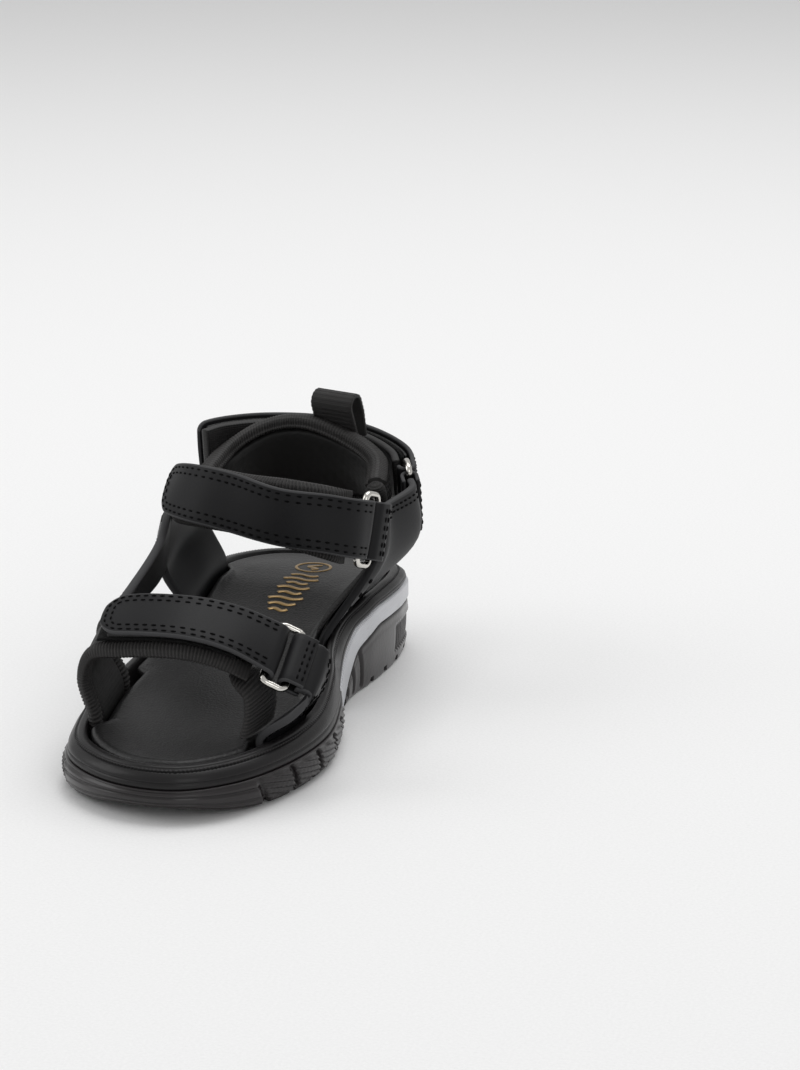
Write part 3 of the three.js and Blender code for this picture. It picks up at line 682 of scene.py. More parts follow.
def grooveDepth(x, y):
    depth = 0
    for first, last, count in (grooves["forefoot"], grooves["heel"]):
        for k in range(count):
            middle = (first + (last - first) * k / (count - 1)) * halfLength - 0.18 * x
            depth = max(depth, min(1, max(0, (grooves["width"] / 2 - abs(y - middle)) / 0.35 + 0.5)))
    return depth * grooves["depth"]


def softStep(low, high, value):
    t = min(max((value - low) / (high - low), 0), 1)
    return t * t * (3 - 2 * t)


lugs = {"pitch": 14.5, "ridge": 1.9, "rise": 0.24, "ridgeDepth": 1.0, "lean": 0.5, "groove": 2.1}


def forefootRelief(x, y, share, s, height):
    # raised panels of leaning ridges round the sides, long flat panels at the toe, and a plain band above
    toe = softStep(-0.76, -0.86, share)
    body = softStep(0.8, 1.4, height) * (1 - softStep(7.9, 8.6, height))
    phase = ((s + height * lugs["lean"]) / lugs["pitch"]) % 1
    gap = 1 - softStep(0.025, 0.09, min(phase, 1 - phase))
    slope = height + lugs["rise"] * phase * lugs["pitch"]
    ridge = math.sin(2 * math.pi * slope / lugs["ridge"]) * 0.5 + 0.5
    sides = body * (lugs["groove"] * gap + lugs["ridgeDepth"] * (1 - ridge) * (1 - gap)) - body * 0.9
    lines = sum(1 - softStep(0.0, 0.35, abs(height - at) - 0.15) for at in (2.9, 6.2))
    front = body * 0.9 * lines - 0.6 * body
    waist = 1 - softStep(-0.04, 0.02, share)
    return sides * (1 - toe) * waist + front * toe


def outsoleForefoot():
    run = region(-2, sole["forefootEnd"])
    bottom = lambda share, x, y, s: underside(share) + grooveDepth(x, y)
    middle = (0, -38)
    levels = [level(2, bottom, k, middle, True) for k in (0.97, 0.86, 0.72, 0.58, 0.44, 0.3, 0.17, 0.07)]
    levels += [level(2.2, bottom), level(1.8, lambda share, x, y, s: bottom(share, x, y, s) + 0.2)]
    for k in range(19):
        t = k / 18
        bulge = 1.5 * (1 - t) ** 3 + 0.5 * t**4

        def inset(x, y, share, s, t=t, bulge=bulge):
            height = underside(share) + 0.6 + (8.3 - underside(share)) * t
            return bulge + 0.25 + forefootRelief(x, y, share, s, height - underside(share) * (1 - t))

        levels.append(level(inset, lambda share, x, y, s, t=t: max(
            underside(share) + 0.6 + (8.3 - underside(share)) * t, bottom(share, x, y, s) * (1 - t) + t)))
    for inset, height in ((0.45, 8.95), (0.75, 9.2), (1.3, 9.25), (6.6, 9.0), (6.6, 5.1)):
        levels.append(level(inset, lambda *_, height=height: height))
    levels += [level(6.6, lambda *_: 5.0, k, middle) for k in (0.5, 0.97)]
    finishPiece(skinAround(run, levels), "outsoleForefoot", "sandal", "outsole_rubber", ["outsole_forefoot"])


def heelRelief(share, s, t):
    # three stepped lobes behind the waist, a ribbed window at each rear corner, plain between
    relief = 0
    for centre in (0.245, 0.305, 0.365):
        relief += 1.5 * (1 - softStep(0.003, 0.013, abs(share - centre + 0.02 * t)))
    window = softStep(0.6, 0.64, share) * (1 - softStep(0.9, 0.94, share))
    border = softStep(0.2, 0.26, t) * (1 - softStep(0.72, 0.78, t))
    ribs = math.sin(2 * math.pi * s / 2.3) * 0.5 + 0.5
    relief += window * border * (0.6 + 0.9 * (1 - ribs))
    relief += 0.35 * (1 - softStep(0.0, 0.03, abs(t - 0.86)))
    return relief * softStep(0.04, 0.12, t)


def outsoleHeel():
    run = region(sole["heelStart"], 2)
    bottom = lambda share, x, y, s: underside(share) + grooveDepth(x, y)
    middle = (0, 56)
    levels = [level(2, bottom, k, middle, True) for k in (0.97, 0.8, 0.6, 0.4, 0.22, 0.09)]
    levels += [level(2.2, bottom), level(1.7, lambda share, x, y, s: bottom(share, x, y, s) + 0.2)]
    for k in range(25):
        t = k / 24

        def inset(x, y, share, s, t=t):
            return 1.2 * (1 - t) ** 3 + 0.25 + 0.5 * t**6 + heelRelief(share, s, t)

        def height(share, x, y, s, t=t):
            low = underside(share) + 0.5
            top = max(stripeUnder(share) - 0.6, 2.6)
            return max(low + (top - low) * t, bottom(share, x, y, s) * (1 - t) + 0.4)

        levels.append(level(inset, height))
    top = lambda share, x, y, s: max(stripeUnder(share) - 0.35, 2.8)
    levels += [level(1.2, top)] + [level(2, top, k, middle, True) for k in (0.1, 0.5, 0.97)]
    finishPiece(skinAround(run, levels), "outsoleHeel", "sandal", "outsole_rubber", ["outsole_heel"])


def midsoleStripe():
    around = [(x, y, share, i) for i, ((x, y), share) in enumerate(zip(outline, outlineShares))
              if share > sole["stripeStart"]]
    start = next(k for k in range(len(around)) if (around[k][3] - around[k - 1][3]) % len(outline) != 1)
    around = around[start:] + around[:start]
    count = len(around)
    sections, step = [], girth / len(outline)
    for k, (x, y, share, _) in enumerate(around):
        low, high = stripeUnder(share), stripeTop(share)
        end = min(k, count - 1 - k) * step
        squeeze = math.sqrt(max(0.02, 1 - max(0, 1 - end / 4.5) ** 2))
        mid = (low + high) / 2
        low, high = mid + (low - mid) * squeeze, mid + (high - mid) * squeeze
        points = []
        for t in [i / 18 for i in range(19)]:
            edge = min(t, 1 - t)
            tuck = 1.1 * (1 - math.sqrt(1 - (1 - min(1, edge / 0.14)) ** 2))
            points.append((0.35 + tuck + (1 - squeeze) * 1.6, low + (high - low) * t))
        points += [(4.5, high - 0.1), (6.5, high - 0.4), (6.5, low + 0.3), (4.5, low + 0.1)]
        sections.append(points)

    def put(i, inset, height):
        x, y, _, _ = around[i]
        return Vector((x * (1 - inset / halfWidth), y * (1 - inset / halfLength), height))

    bm = wrap(sections, put, [k * step for k in range(count)])
    uvLayer = bm.loops.layers.uv.active
    for face in bm.faces:
        for loop in face.loops:
            loop[uvLayer].uv.y = loop.vert.co.z / mm
    finishPiece(bm, "midsoleStripe", "sandal", "stripe_foam", ["midsole_stripe"])


def shoulder(share):
    return stripeTop(share) + 0.3


def wallHeight(t):
    return lambda share, x, y, s: shoulder(share) + (rimHeight(share) - shoulder(share)) * t


def belowRim(drop):
    return lambda share, x, y, s: rimHeight(share) - drop


def coreUnder(share):
    t = softStep(sole["forefootEnd"], sole["heelStart"], share)
    low = 5 + (stripeUnder(sole["heelStart"]) - 5) * t if share < sole["heelStart"] else stripeUnder(share)
    return low + 0.7


def midsole():
    # the wall is a groove, a plain face and a fine cord line under the rim's rolled edge
    run = region(-2, 2)
    core = lambda share, x, y, s: coreUnder(share)
    floor = belowRim(8.4)
    levels = [level(6.9, core, k, (0, 0), True) for k in (0.97, 0.6, 0.3)]
    levels += [level(6.9, core), level(6.9, lambda share, x, y, s: shoulder(share))]
    profile = [(0, 1.6), (0.03, 1.15), (0.1, 1.05), (0.2, 1.1), (0.27, 1.2), (0.3, 1.5), (0.33, 1.5),
               (0.36, 1.3), (0.42, 1.35), (0.55, 1.75), (0.66, 2.3), (0.72, 2.75), (0.75, 2.95), (0.765, 3.35)]
    for t, inset in profile:
        levels.append(level(inset, wallHeight(t)))
    lay = 1.25      # the cord line's twist repeats at this step
    for t, swell in ((0.785, 0.1), (0.81, 0.5), (0.84, 0.62), (0.87, 0.5), (0.895, 0.1)):

        def cordInset(x, y, share, s, swell=swell):
            return 3.55 - swell * (0.65 + 0.35 * math.sin(2 * math.pi * s / lay))

        def cordHeight(share, x, y, s, wall=wallHeight(t)):
            return wall(share, x, y, s) + 0.1 * math.sin(2 * math.pi * s / lay + 1.2)

        levels.append(level(cordInset, cordHeight))
    edge = ((3.75, 0.75), (3.9, 0.35), (4.25, 0.08), (4.8, 0), (5.6, 0), (6.05, 0.12), (6.3, 0.5))
    levels += [level(inset, belowRim(drop)) for inset, drop in edge]
    levels += [level(6.3, floor)] + [level(6.3, floor, k, (0, 0), True) for k in (0.3, 0.97)]
    finishPiece(skinAround(run, levels), "midsoleBody", "sandal", "midsole_rubber", ["midsole"])


footbed = {
    "inset": 7.3,
    "tuck": 3.6,        # how much further in it lies where an upper piece goes down beside it
    "footings": [(-1, -0.7, -0.24), (-1, 0.16, 0.67), (1, -0.78, -0.38), (1, -0.02, 0.46)],     # side, from, to
    "fade": 0.06,
}


def bedInset(x, y, share, s):
    inset = footbed["inset"]
    for side, low, high in footbed["footings"]:
        if x * side > 0:
            t = y / halfLength
            begun = softStep(low - footbed["fade"], low, t)
            going = 1 - softStep(high, high + footbed["fade"], t)
            inset = max(inset, footbed["inset"] + footbed["tuck"] * begun * going)
    return inset


def toeRaised(drop):
    # the bed's rolled edge stands higher at the toe, where nothing crosses it
    return lambda share, x, y, s: rimHeight(share) - drop - 0.5 * softStep(-0.8, -0.6, share)


def footbedCover():
    run = region(-2, 2)
    levels = []
    for inward, drop in ((1.6, 3.6), (0.5, 3.3), (0.12, 2.6), (0, 1.8), (0.1, 1.0), (0.45, 0.4), (1.1, 0.0),
                         (1.9, -0.15), (2.8, 0.0)):

        def inset(x, y, share, s, inward=inward):
            return bedInset(x, y, share, s) + inward

        levels.append(level(inset, toeRaised(drop)))
    for k in (0.04, 0.1, 0.18, 0.28, 0.4, 0.52, 0.64, 0.76, 0.87, 0.96):
        drop = 0.8 + 1.6 * (1 - (1 - k) ** 2) + 0.1
        levels.append(level(14.1, belowRim(drop), k, (0, 0), True))
    bm = skinAround(run, levels)
    bed = BVHTree.FromBMesh(bm)
    finishPiece(bm, "footbedCover", "sandal", "grain_leather", ["footbed_cover"])
    return bed


gold = {"middle": (1, 68), "ring": 5.4, "line": 0.9, "bar": 1.4, "lift": 0.05}


def goldPrint(bed):
    # a ring, a wave and short bars, laid on the footbed
    def bedTop(x, y):
        return bed.ray_cast(Vector((x, y, 60)) * mm, Vector((0, 0, -1)))[0].z / mm

    bm = bmesh.new()
    cx, cy = gold["middle"]
    turns = np.linspace(0, 2 * math.pi, 65)
    circle = [(cx + gold["ring"] * math.cos(a), cy + gold["ring"] * math.sin(a)) for a in turns]
    paths = [(circle, gold["line"])]
    wave = [(cx + 1.5 * math.sin(t * 2.6), cy - 3 + 6 * t / math.pi) for t in np.linspace(0, math.pi, 40)]
    paths.append((wave, gold["bar"]))
    for k, half in enumerate((4.4, 5.6, 3.4, 5.2, 3.8, 5.6, 4.4, 3.0)):
        y = cy - 10 - 4 * k
        bar = [(cx - 0.08 * k - half + 2 * half * t, y + 0.8 * math.sin(t * 6.3))
               for t in np.linspace(0, 1, 24)]
        paths.append((bar, gold["bar"]))
    for path, width in paths:
        rows = len(path) - 1
        part = bmesh.ops.create_grid(bm, x_segments=rows, y_segments=2, size=1)["verts"]
        for v, (i, j) in gridSpots(part, rows, 2).items():
            a, b = path[max(i - 1, 0)], path[min(i + 1, rows)]
            reach = math.dist(a, b) or 1
            x = path[i][0] - (b[1] - a[1]) / reach * width / 2 * (j - 1)
            y = path[i][1] + (b[0] - a[0]) / reach * width / 2 * (j - 1)
            v.co = Vector((x, y, bedTop(x, y) + gold["lift"])) * mm
    bmesh.ops.recalc_face_normals(bm, faces=bm.faces)
    printed = finishPiece(bm, "footbedPrint", "sandal", "grain_leather", (), ["gold_print"])
    wall = printed.modifiers.new("thickness", "SOLIDIFY")
    wall.thickness = 0.25 * mm
    wall.offset = 0


strap = {"width": 17.5, "flap": 3.2, "thickness": 1.4, "crown": 0.22, "corner": 0.6, "curl": 0.6}
wire = {"radius": 1.0, "reach": 7.0, "corner": 1.9}
barHeight = 1.6
barRoom = 1.6


def barFrame(sheet, u, turn):
    out = sheet.normal(u)
    along = sheet.across(u)
    towards = sheet.along(u) * turn
    towards = (towards - along * towards.dot(along)).normalized()
    normal = along.cross(towards).normalized()
    if normal.dot(out) < 0:
        normal = -normal
    return {"middle": sheet.at(u, 0.5) + out * barHeight, "along": along, "towards": towards, "out": normal}


def addRing(name, ringSpot, body):
    half = strap["width"] / 2 + 1.8
    reach, corner = wire["reach"], wire["corner"]
    path = []
    for cx, cy, start in ((half - corner, corner, -90), (half - corner, reach - corner, 0),
                          (-half + corner, reach - corner, 90), (-half + corner, corner, 180)):
        for k in range(7):
            angle = math.radians(start + 15 * k)
            path.append((cx + corner * math.cos(angle), cy + corner * math.sin(angle), angle))
    path.append(path[0])
    circle = roundSection(wire["radius"], 16)

    def put(i, grow, lift):
        x, y, angle = path[i]
        return (ringSpot["middle"] + ringSpot["along"] * (x + grow * math.cos(angle))
                + ringSpot["towards"] * (y + grow * math.sin(angle)) + ringSpot["out"] * lift)

    bm = wrap([circle] * len(path), put, list(range(len(path))), (), True)
    finishPiece(bm, name + "Wire", body, "ring_steel", [name + "_ring"])


def addRingTab(name, ringSpot):
    bar = ringSpot["middle"] + ringSpot["towards"] * wire["reach"]
    leg, thickness = 4.4, 1.2
    path = [(leg - leg * k / 4, -1, None) for k in range(4)]
    path += [(0, 0, -math.pi / 2 - math.pi * k / 14) for k in range(15)]
    path += [(leg * k / 4, 1, None) for k in range(1, 5)]
    points, rims = roundedSection(strap["width"], 0, thickness, 0.45, 0.1)

    def fromBar(reach, rise, w):
        return bar + ringSpot["towards"] * reach + ringSpot["out"] * rise + ringSpot["along"] * w

    def put(i, w, lift):
        reach, side, angle = path[i]
        radius = barRoom + lift * (0.75 if i in (0, len(path) - 1) else 1)
        rise = side * radius
        if side == 0:
            reach, rise = radius * math.cos(angle), radius * math.sin(angle)
        return fromBar(reach, rise, w - strap["width"] / 2)

    bm = wrap([points] * len(path), put, list(range(len(path))), rims)
    finishPiece(bm, name + "RingTab", "sandal", "smooth_leather", [name + "_ring_tab"],
                ["smooth_leather", "cut_edge"])
    stitches = bmesh.new()
    top = barRoom + thickness + 0.08
    for inset in (1.1, 2.7):
        addStitches(stitches, [(leg - inset, -7.6), (leg - inset, 7.6)],
                    lambda s, w: fromBar(s, top, w), lambda s, w: ringSpot["out"])
    finishPiece(stitches, name + "TabStitches", "sandal", "smooth_leather", (), ["thread"])


def foldedStrap(name, sheet, free, fold, rounding, body):
    # flat along the sheet from the free end, then folded round the ring's first bar
    sign = 1 if fold > free else -1
    start = sheet.distance(free)
    flatRun = abs(sheet.distance(fold) - start)
    stops = [0.02, 0.15, 0.4, 0.8, 1.3, 2.0, 2.8, 3.8, 5]
    stops += list(np.linspace(6, flatRun, round(flatRun / 1.1)))
    turns = [(flatRun + 0.9 * k, math.pi * k / 16) for k in range(1, 17)]
    rows = [(s, None) for s in stops] + turns
    full = strap["width"]

    def widthAt(s):
        if s >= rounding:
            return full
        return full - 2 * (rounding - math.sqrt(max(0, rounding**2 - (rounding - s) ** 2)))

    sections, rims = [], set()
    for i, (s, angle) in enumerate(rows):
        corner = strap["corner"] * (0.6 if i == 0 else 1)
        thin = 0.55 if i == 0 else 0.85 if i == 1 else 1
        half = strap["thickness"] / 2
        faces = [strap["flap"] + half + half * thin * face for face in (-1, 1)]
        points, rims = roundedSection(widthAt(s), *faces, corner, strap["crown"], 0, 10)
        sections.append(points)

    def curl(s):
        return strap["curl"] * math.exp(-s / 5) + 0.12 * math.sin(s * 0.19)

    def put(i, w, lift):
        s, angle = rows[i]
        offset = w - widthAt(s) / 2
        if angle is None:
            u = sheet.uAt(start + sign * s)
            return sheet.at(u, 0.5 + offset / sheet.width(u)) + sheet.normal(u) * (lift + curl(s))
        radius = lift - barHeight
        rise = sheet.normal(fold) * (barHeight + radius * math.cos(angle))
        return (sheet.at(fold, 0.5 + offset / sheet.width(fold)) + rise
                + sheet.along(fold) * (sign * radius * math.sin(angle)))

    bm = wrap(sections, put, [s for s, _ in rows], rims)
    finishPiece(bm, name + "StrapLeather", body, "smooth_leather", [name + "_strap"],
                ["smooth_leather", "cut_edge"])

    top = strap["flap"] + strap["thickness"]

    def onTop(s, w):
        u = sheet.uAt(start + sign * s)
        crown = strap["crown"] * math.sin(math.pi * (w / full + 0.5))
        return sheet.at(u, 0.5 + w / sheet.width(u)) + sheet.normal(u) * (top + crown + curl(s) + 0.03)

    def out(s, w):
        return sheet.normal(sheet.uAt(start + sign * s))

    stitches = bmesh.new()
    for inset in (1.5, 3.4):
        radius = max(rounding - inset, 0.8)
        edge = full / 2 - inset
        path = [(flatRun - 0.5, edge), (inset + radius, edge)]
        path += [(inset + radius - radius * math.sin(a), edge - radius + radius * math.cos(a))
                 for a in np.linspace(0, math.pi / 2, 8)]
        path += [(inset + radius - radius * math.cos(a), -edge + radius - radius * math.sin(a))
                 for a in np.linspace(0, math.pi / 2, 8)]
        path += [(inset + radius, -edge), (flatRun - 0.5, -edge)]
        addStitches(stitches, path, onTop, out)
    finishPiece(stitches, name + "StrapStitches", body, "smooth_leather", (), ["thread"])


def addFuzz(name, sheet, span, edges, lift, body, count):
    # short loose fibres along the two edges of a loop tape
    chance = random.Random(count)
    bm = bmesh.new()
    for k in range(count):
        u = chance.uniform(*span)
        low, high = edges(u)
        side = chance.choice((0, 1))
        v = (low, high)[side]
        root = sheet.at(u, v) + sheet.normal(u) * (lift + chance.uniform(0, 0.8))
        away = (sheet.across(u, v) * (1 if side else -1) + sheet.along(u, v) * chance.uniform(-1, 1)
                + sheet.normal(u) * chance.uniform(-0.5, 0.7)).normalized()
        length = chance.uniform(0.4, 1.1)
        turn = away.to_track_quat("Z", "Y").to_matrix().to_4x4()
        bmesh.ops.create_cone(bm, cap_ends=False, segments=3, radius1=0.05 * mm, radius2=0.02 * mm,
                              depth=length * mm,
                              matrix=Matrix.Translation((root + away * length / 2) * mm) @ turn)
    finishPiece(bm, name + "LoopFuzz", body, "loop_pile")


def addBand(name, sheet, end, tape, free, fold, turn, tail, rounding, edging=True):
    body = name + "_strap_body"
    edge = 4.9 if edging else 0
    reach = (0, end) if turn > 0 else (1 - end, 1)
    band = strip(sheet, inFromEdges(sheet, edge), -2.4, 0, reach, corner=0.7, crown=0.1)
    finishPiece(band, name + "BandLining", "sandal", "lining_cloth", [name + "_band"],
                ["lining_cloth", "lining_cloth"])
    if edging:
        for side, edges in (("lower", overhang(sheet, 4.6, 1.5)), ("upper", overhang(sheet, 4.6, 1.5, True))):
            roll = strip(sheet, edges, -2.4, 0, reach, step=0.2, corner=1.15, crown=1.0, hollow=-0.6,
                         rib=0.42, ribPitch=1.05, across=6, taper=9)
            finishPiece(roll, name + side.capitalize() + "Binding", "sandal", "ribbed_elastic",
                        [f"{name}_{side}_binding"], ["ribbed_elastic", "ribbed_elastic"])
    tapeEdges = midStrip(sheet, 15.6)
    loop = strip(sheet, tapeEdges, 0.8, 1.7, tape, corner=0.35, ruffle=0.09, step=0.9)
    finishPiece(loop, name + "LoopTape", "sandal", "loop_pile", [name + "_loop_tape"],
                ["loop_pile", "loop_pile"])
    addFuzz(name, sheet, tape, tapeEdges, 0.9, "sandal", 420)
    hook = strip(sheet, midStrip(sheet, 15), 2.0, 2.9, tail, corner=0.3)
    finishPiece(hook, name + "HookTape", body, "hook_tape", [name + "_hook_tape"], ["hook_tape", "hook_tape"])
    foldedStrap(name, sheet, free, fold, rounding, body)
    rings[name] = barFrame(sheet, fold, turn)
    addRing(name, rings[name], name + "_ring_body")


rings = {}


def panelEdge(ringSpot):
    middle = ringSpot["middle"] + ringSpot["towards"] * (wire["reach"] + barRoom + wire["radius"])
    return [middle + ringSpot["along"] * (strap["width"] / 2 * side) for side in (-1, 1)]


def upwards(ends):
    return sorted(ends, key=lambda point: point.z)


def ahead(point, ringSpot):
    return point + ringSpot["towards"] * 4.6


def panel(sheet, name, faces, node, across=16, **shape):
    made = strip(sheet, fullWidth, *faces, across=across, **shape)
    finishPiece(made, name, "sandal", "smooth_leather", [node], ["smooth_leather", "cut_edge"])


def stitched(sheet, name, rows, lift, thread="thread", **look):
    bm = bmesh.new()
    for row in rows:
        sheetStitches(bm, sheet, row, lift, **look)
    finishPiece(bm, name, "sandal", "smooth_leather", (), [thread])


toeBand = Sheet([
    [foot(-1, -0.65), foot(-1, -0.29)],
    [overRim(-1, -0.65), overRim(-1, -0.295)],
    [place(-0.828, -0.644, 27), place(-0.947, -0.309, 29)],
    [place(-0.724, -0.67, 36), place(-0.789, -0.42, 40)],
    [place(-0.447, -0.69, 38.5), place(-0.5, -0.48, 46)],
    [place(0.042, -0.713, 40), place(-0.042, -0.516, 48.3)],
    [place(0.316, -0.69, 37.5), place(0.289, -0.5, 46.2)],
    [place(0.605, -0.644, 31.5), place(0.619, -0.473, 41)]])
instepBand = Sheet([
    [place(-0.821, 0.3, 50), place(-0.816, 0.48, 61.5)],
    [place(-0.711, 0.144, 54.5), place(-0.711, 0.287, 65.5)],
    [place(-0.421, 0.053, 56), place(-0.408, 0.128, 70)],
    [place(-0.079, 0.021, 55.5), place(-0.053, 0.064, 70)],
    [place(0.355, 0, 52.5), place(0.355, 0.005, 70.5)],
    [place(0.6, 0.02, 50), place(0.61, 0.05, 68.5)],
    [place(0.74, 0.065, 47.5), place(0.76, 0.11, 66)],
    [place(0.78, 0.125, 46), place(0.82, 0.185, 63.5)]])
heelBand = Sheet([
    [place(0.85, 0.68, 45.5), place(0.85, 0.64, 62.5)],
    [place(0.735, 0.8, 47.5), place(0.715, 0.76, 64.5)],
    [place(0.4, 0.9, 50), place(0.379, 0.86, 67)],
    [place(-0.053, 0.92, 52), place(-0.053, 0.885, 69)],
    [place(-0.5, 0.885, 52.5), place(-0.48, 0.85, 69.5)],
    [place(-0.8, 0.79, 52.5), place(-0.79, 0.755, 69.5)],
    [place(-0.9, 0.69, 52.5), place(-0.9, 0.655, 69.5)]])
collar = Sheet([
    [place(0.821, 0.53, 47), place(0.779, 0.5, 62)],
    [place(0.751, 0.702, 46), place(0.671, 0.649, 66)],
    [place(0.474, 0.84, 45), place(0.395, 0.72, 70.5)],
    [place(0, 0.894, 44), place(-0.053, 0.745, 75)],
    [place(-0.474, 0.862, 44), place(-0.395, 0.735, 73)],
    [place(-0.777, 0.72, 44.5), place(-0.711, 0.68, 66)],
    [place(-0.858, 0.54, 45), place(-0.826, 0.51, 60)]])
outerQuarter = Sheet([
    [foot(-1, 0.63), overRim(-1, 0.63), place(-0.921, 0.66, 40), place(-0.926, 0.59, 57)],
    [foot(-1, 0.48), overRim(-1, 0.48), place(-0.947, 0.52, 39), place(-0.916, 0.49, 57.5)],
    [foot(-1, 0.34), overRim(-1, 0.34), place(-0.963, 0.38, 37), place(-0.905, 0.38, 57)],
    [foot(-1, 0.2), overRim(-1, 0.2), place(-0.93, 0.23, 35), place(-0.884, 0.25, 55)]])


def addStraps():
    addBand("toe", toeBand, 0.965, (0.47, 0.9), 0.5, 1, 1, (0.52, 0.88), 6.2)
    addBand("instep", instepBand, 0.935, (0.16, 0.9), 0.13, 1, 1, (0.17, 0.88), 6.2)
    addBand("heel", heelBand, 0.95, (0.1, 0.86), 0.93, 0, -1, (0.12, 0.9), 3.2, False)
    for name in ("toe", "instep", "heel"):
        addRingTab(name, rings[name])


def tongueHalf(u):
    return 0.5 * math.sqrt(max(0.12, 1 - max(0, (u - 0.7) / 0.3) ** 2))


def addToeSide():
    ends = panelEdge(rings["toe"])
    front, rear = sorted(ends, key=lambda point: (point - toeBand.at(1, 0)).length)
    vamp = Sheet([
        [front, rear],
        [ahead(front, rings["toe"]), ahead(rear, rings["toe"])],
        [place(0.874, -0.69, 23), place(0.937, -0.45, 25)],
        [overRim(1, -0.7, 1.1), overRim(1, -0.445, 1.1)],
        [foot(1, -0.7, 1.1), foot(1, -0.44, 1.1)]])
    panel(vamp, "vampPanel", (-1.1, 1.1), "vamp_inner_panel", corner=0.6, crown=0.25)
    stitched(vamp, "vampStitches", [
        [(0.28, 0.07), (0.82, 0.06)], [(0.28, 0.93), (0.82, 0.94)], [(0.28, 0.84), (0.82, 0.86)],
        [(0.3, 0.12), (0.45, 0.3), (0.52, 0.55), (0.42, 0.84)]], 1.32)
    tongue = Sheet([
        [place(0.52, -0.735, 17), place(0.62, -0.55, 18)],
        [place(0.535, -0.71, 22.5), place(0.64, -0.54, 24.5)],
        [place(0.505, -0.69, 27.5), place(0.589, -0.54, 30.5)],
        [place(0.326, -0.66, 30.5), place(0.379, -0.56, 33)]])
    made = strip(tongue, lambda u: (0.5 - tongueHalf(u), 0.5 + tongueHalf(u)), -1.1, 1.1, step=0.22,
                 corner=1.0, crown=0.9, hollow=-0.6, rib=0.42, ribPitch=1.05, across=12)
    finishPiece(made, "vampTongue", "sandal", "ribbed_elastic", ["vamp_inner_tongue"],
                          ["ribbed_elastic", "ribbed_elastic"])


def wavy(start, end, v0, v1, swing):
    # a sewn line that wanders a little
    count, turns = 24, 2.2
    line = []
    for k in range(count + 1):
        sway = swing * math.sin(turns * math.pi * k / count)
        line.append((start + (end - start) * k / count, v0 + (v1 - v0) * k / count + sway))
    return line


def addOuterSide():
    panel(outerQuarter, "outerQuarterLeather", (-2.4, 0), "outer_quarter", corner=0.6, across=26)
    bridgeGap = 0.8
    bridge = Sheet([
        [outerQuarter.at(1, v) + outerQuarter.along(1, v) * bridgeGap for v in (0.67, 0.985)],
        [place(-0.85, 0, 35.5), place(-0.78, 0.03, 50)],
        [toeBand.at(u, 1) + toeBand.across(u, 1) * 2 * bridgeGap for u in (0.31, 0.43)]])
    panel(bridge, "outerBridgeLeather", (-2.4, 0), "outer_bridge", corner=0.7, crown=0.3)
    grey = {"thread": "grey_thread", "length": 1.5, "pitch": 2.0}
    stitched(bridge, "bridgeStitches", [
        wavy(0.03, 0.96, 0.12, 0.14, 0.02), wavy(0.03, 0.96, 0.2, 0.22, 0.02),
        wavy(0.03, 0.96, 0.82, 0.8, 0.03), wavy(0.03, 0.96, 0.74, 0.72, 0.03)], 0.3, **grey)
    stitched(outerQuarter, "quarterStitches", [
        [(0.965, 0.36), (0.965, 0.9)], [(0.925, 0.36), (0.925, 0.9)],
        wavy(0.04, 0.92, 0.955, 0.955, 0.006), wavy(0.04, 0.92, 0.925, 0.93, 0.006),
        wavy(0.05, 0.92, 0.42, 0.5, 0.03), wavy(0.05, 0.92, 0.45, 0.53, 0.03)], 0.06, **grey)
    ladder = bmesh.new()
    for k in range(15):
        u, v = 0.2 + 0.02 * math.sin(k * 0.3), 0.48 + 0.03 * k
        rung = [(u, v), (u + 0.035, v + 0.003)]
        sheetStitches(ladder, outerQuarter, rung, 0.1, length=1.5, pitch=1.6, width=0.5)
    finishPiece(ladder, "ladderStitches", "sandal", "smooth_leather", (), ["grey_thread"])

    def insertEdges(u):
        t = (u - 0.3) / 0.56
        return 0.38 + 0.2 * t, 0.91

    insert = strip(outerQuarter, insertEdges, 0.5, 1.7, (0.3, 0.86), step=0.3, corner=0.5, crown=0.35,
                   rib=0.3, ribPitch=1.7, across=20)
    finishPiece(insert, "insertMesh", "sandal", "mesh_cloth", ["mesh_insert"], ["mesh_cloth", "mesh_cloth"])
    badge = strip(outerQuarter, lambda u: (0.62, 0.79), 1.9, 3.4, (0.52, 0.7), step=0.5, corner=0.7,
                  across=12)
    finishPiece(badge, "badgeRim", "sandal", "badge_rubber", ["badge"], ["badge_white", "badge_white"])
    inlay = strip(outerQuarter, lambda u: (0.65, 0.76), 3.2, 3.6, (0.55, 0.67), step=0.5, corner=0.15,
                  across=10)
    finishPiece(inlay, "badgeInlay", "sandal", "badge_rubber", (), ["badge_black", "badge_black"])


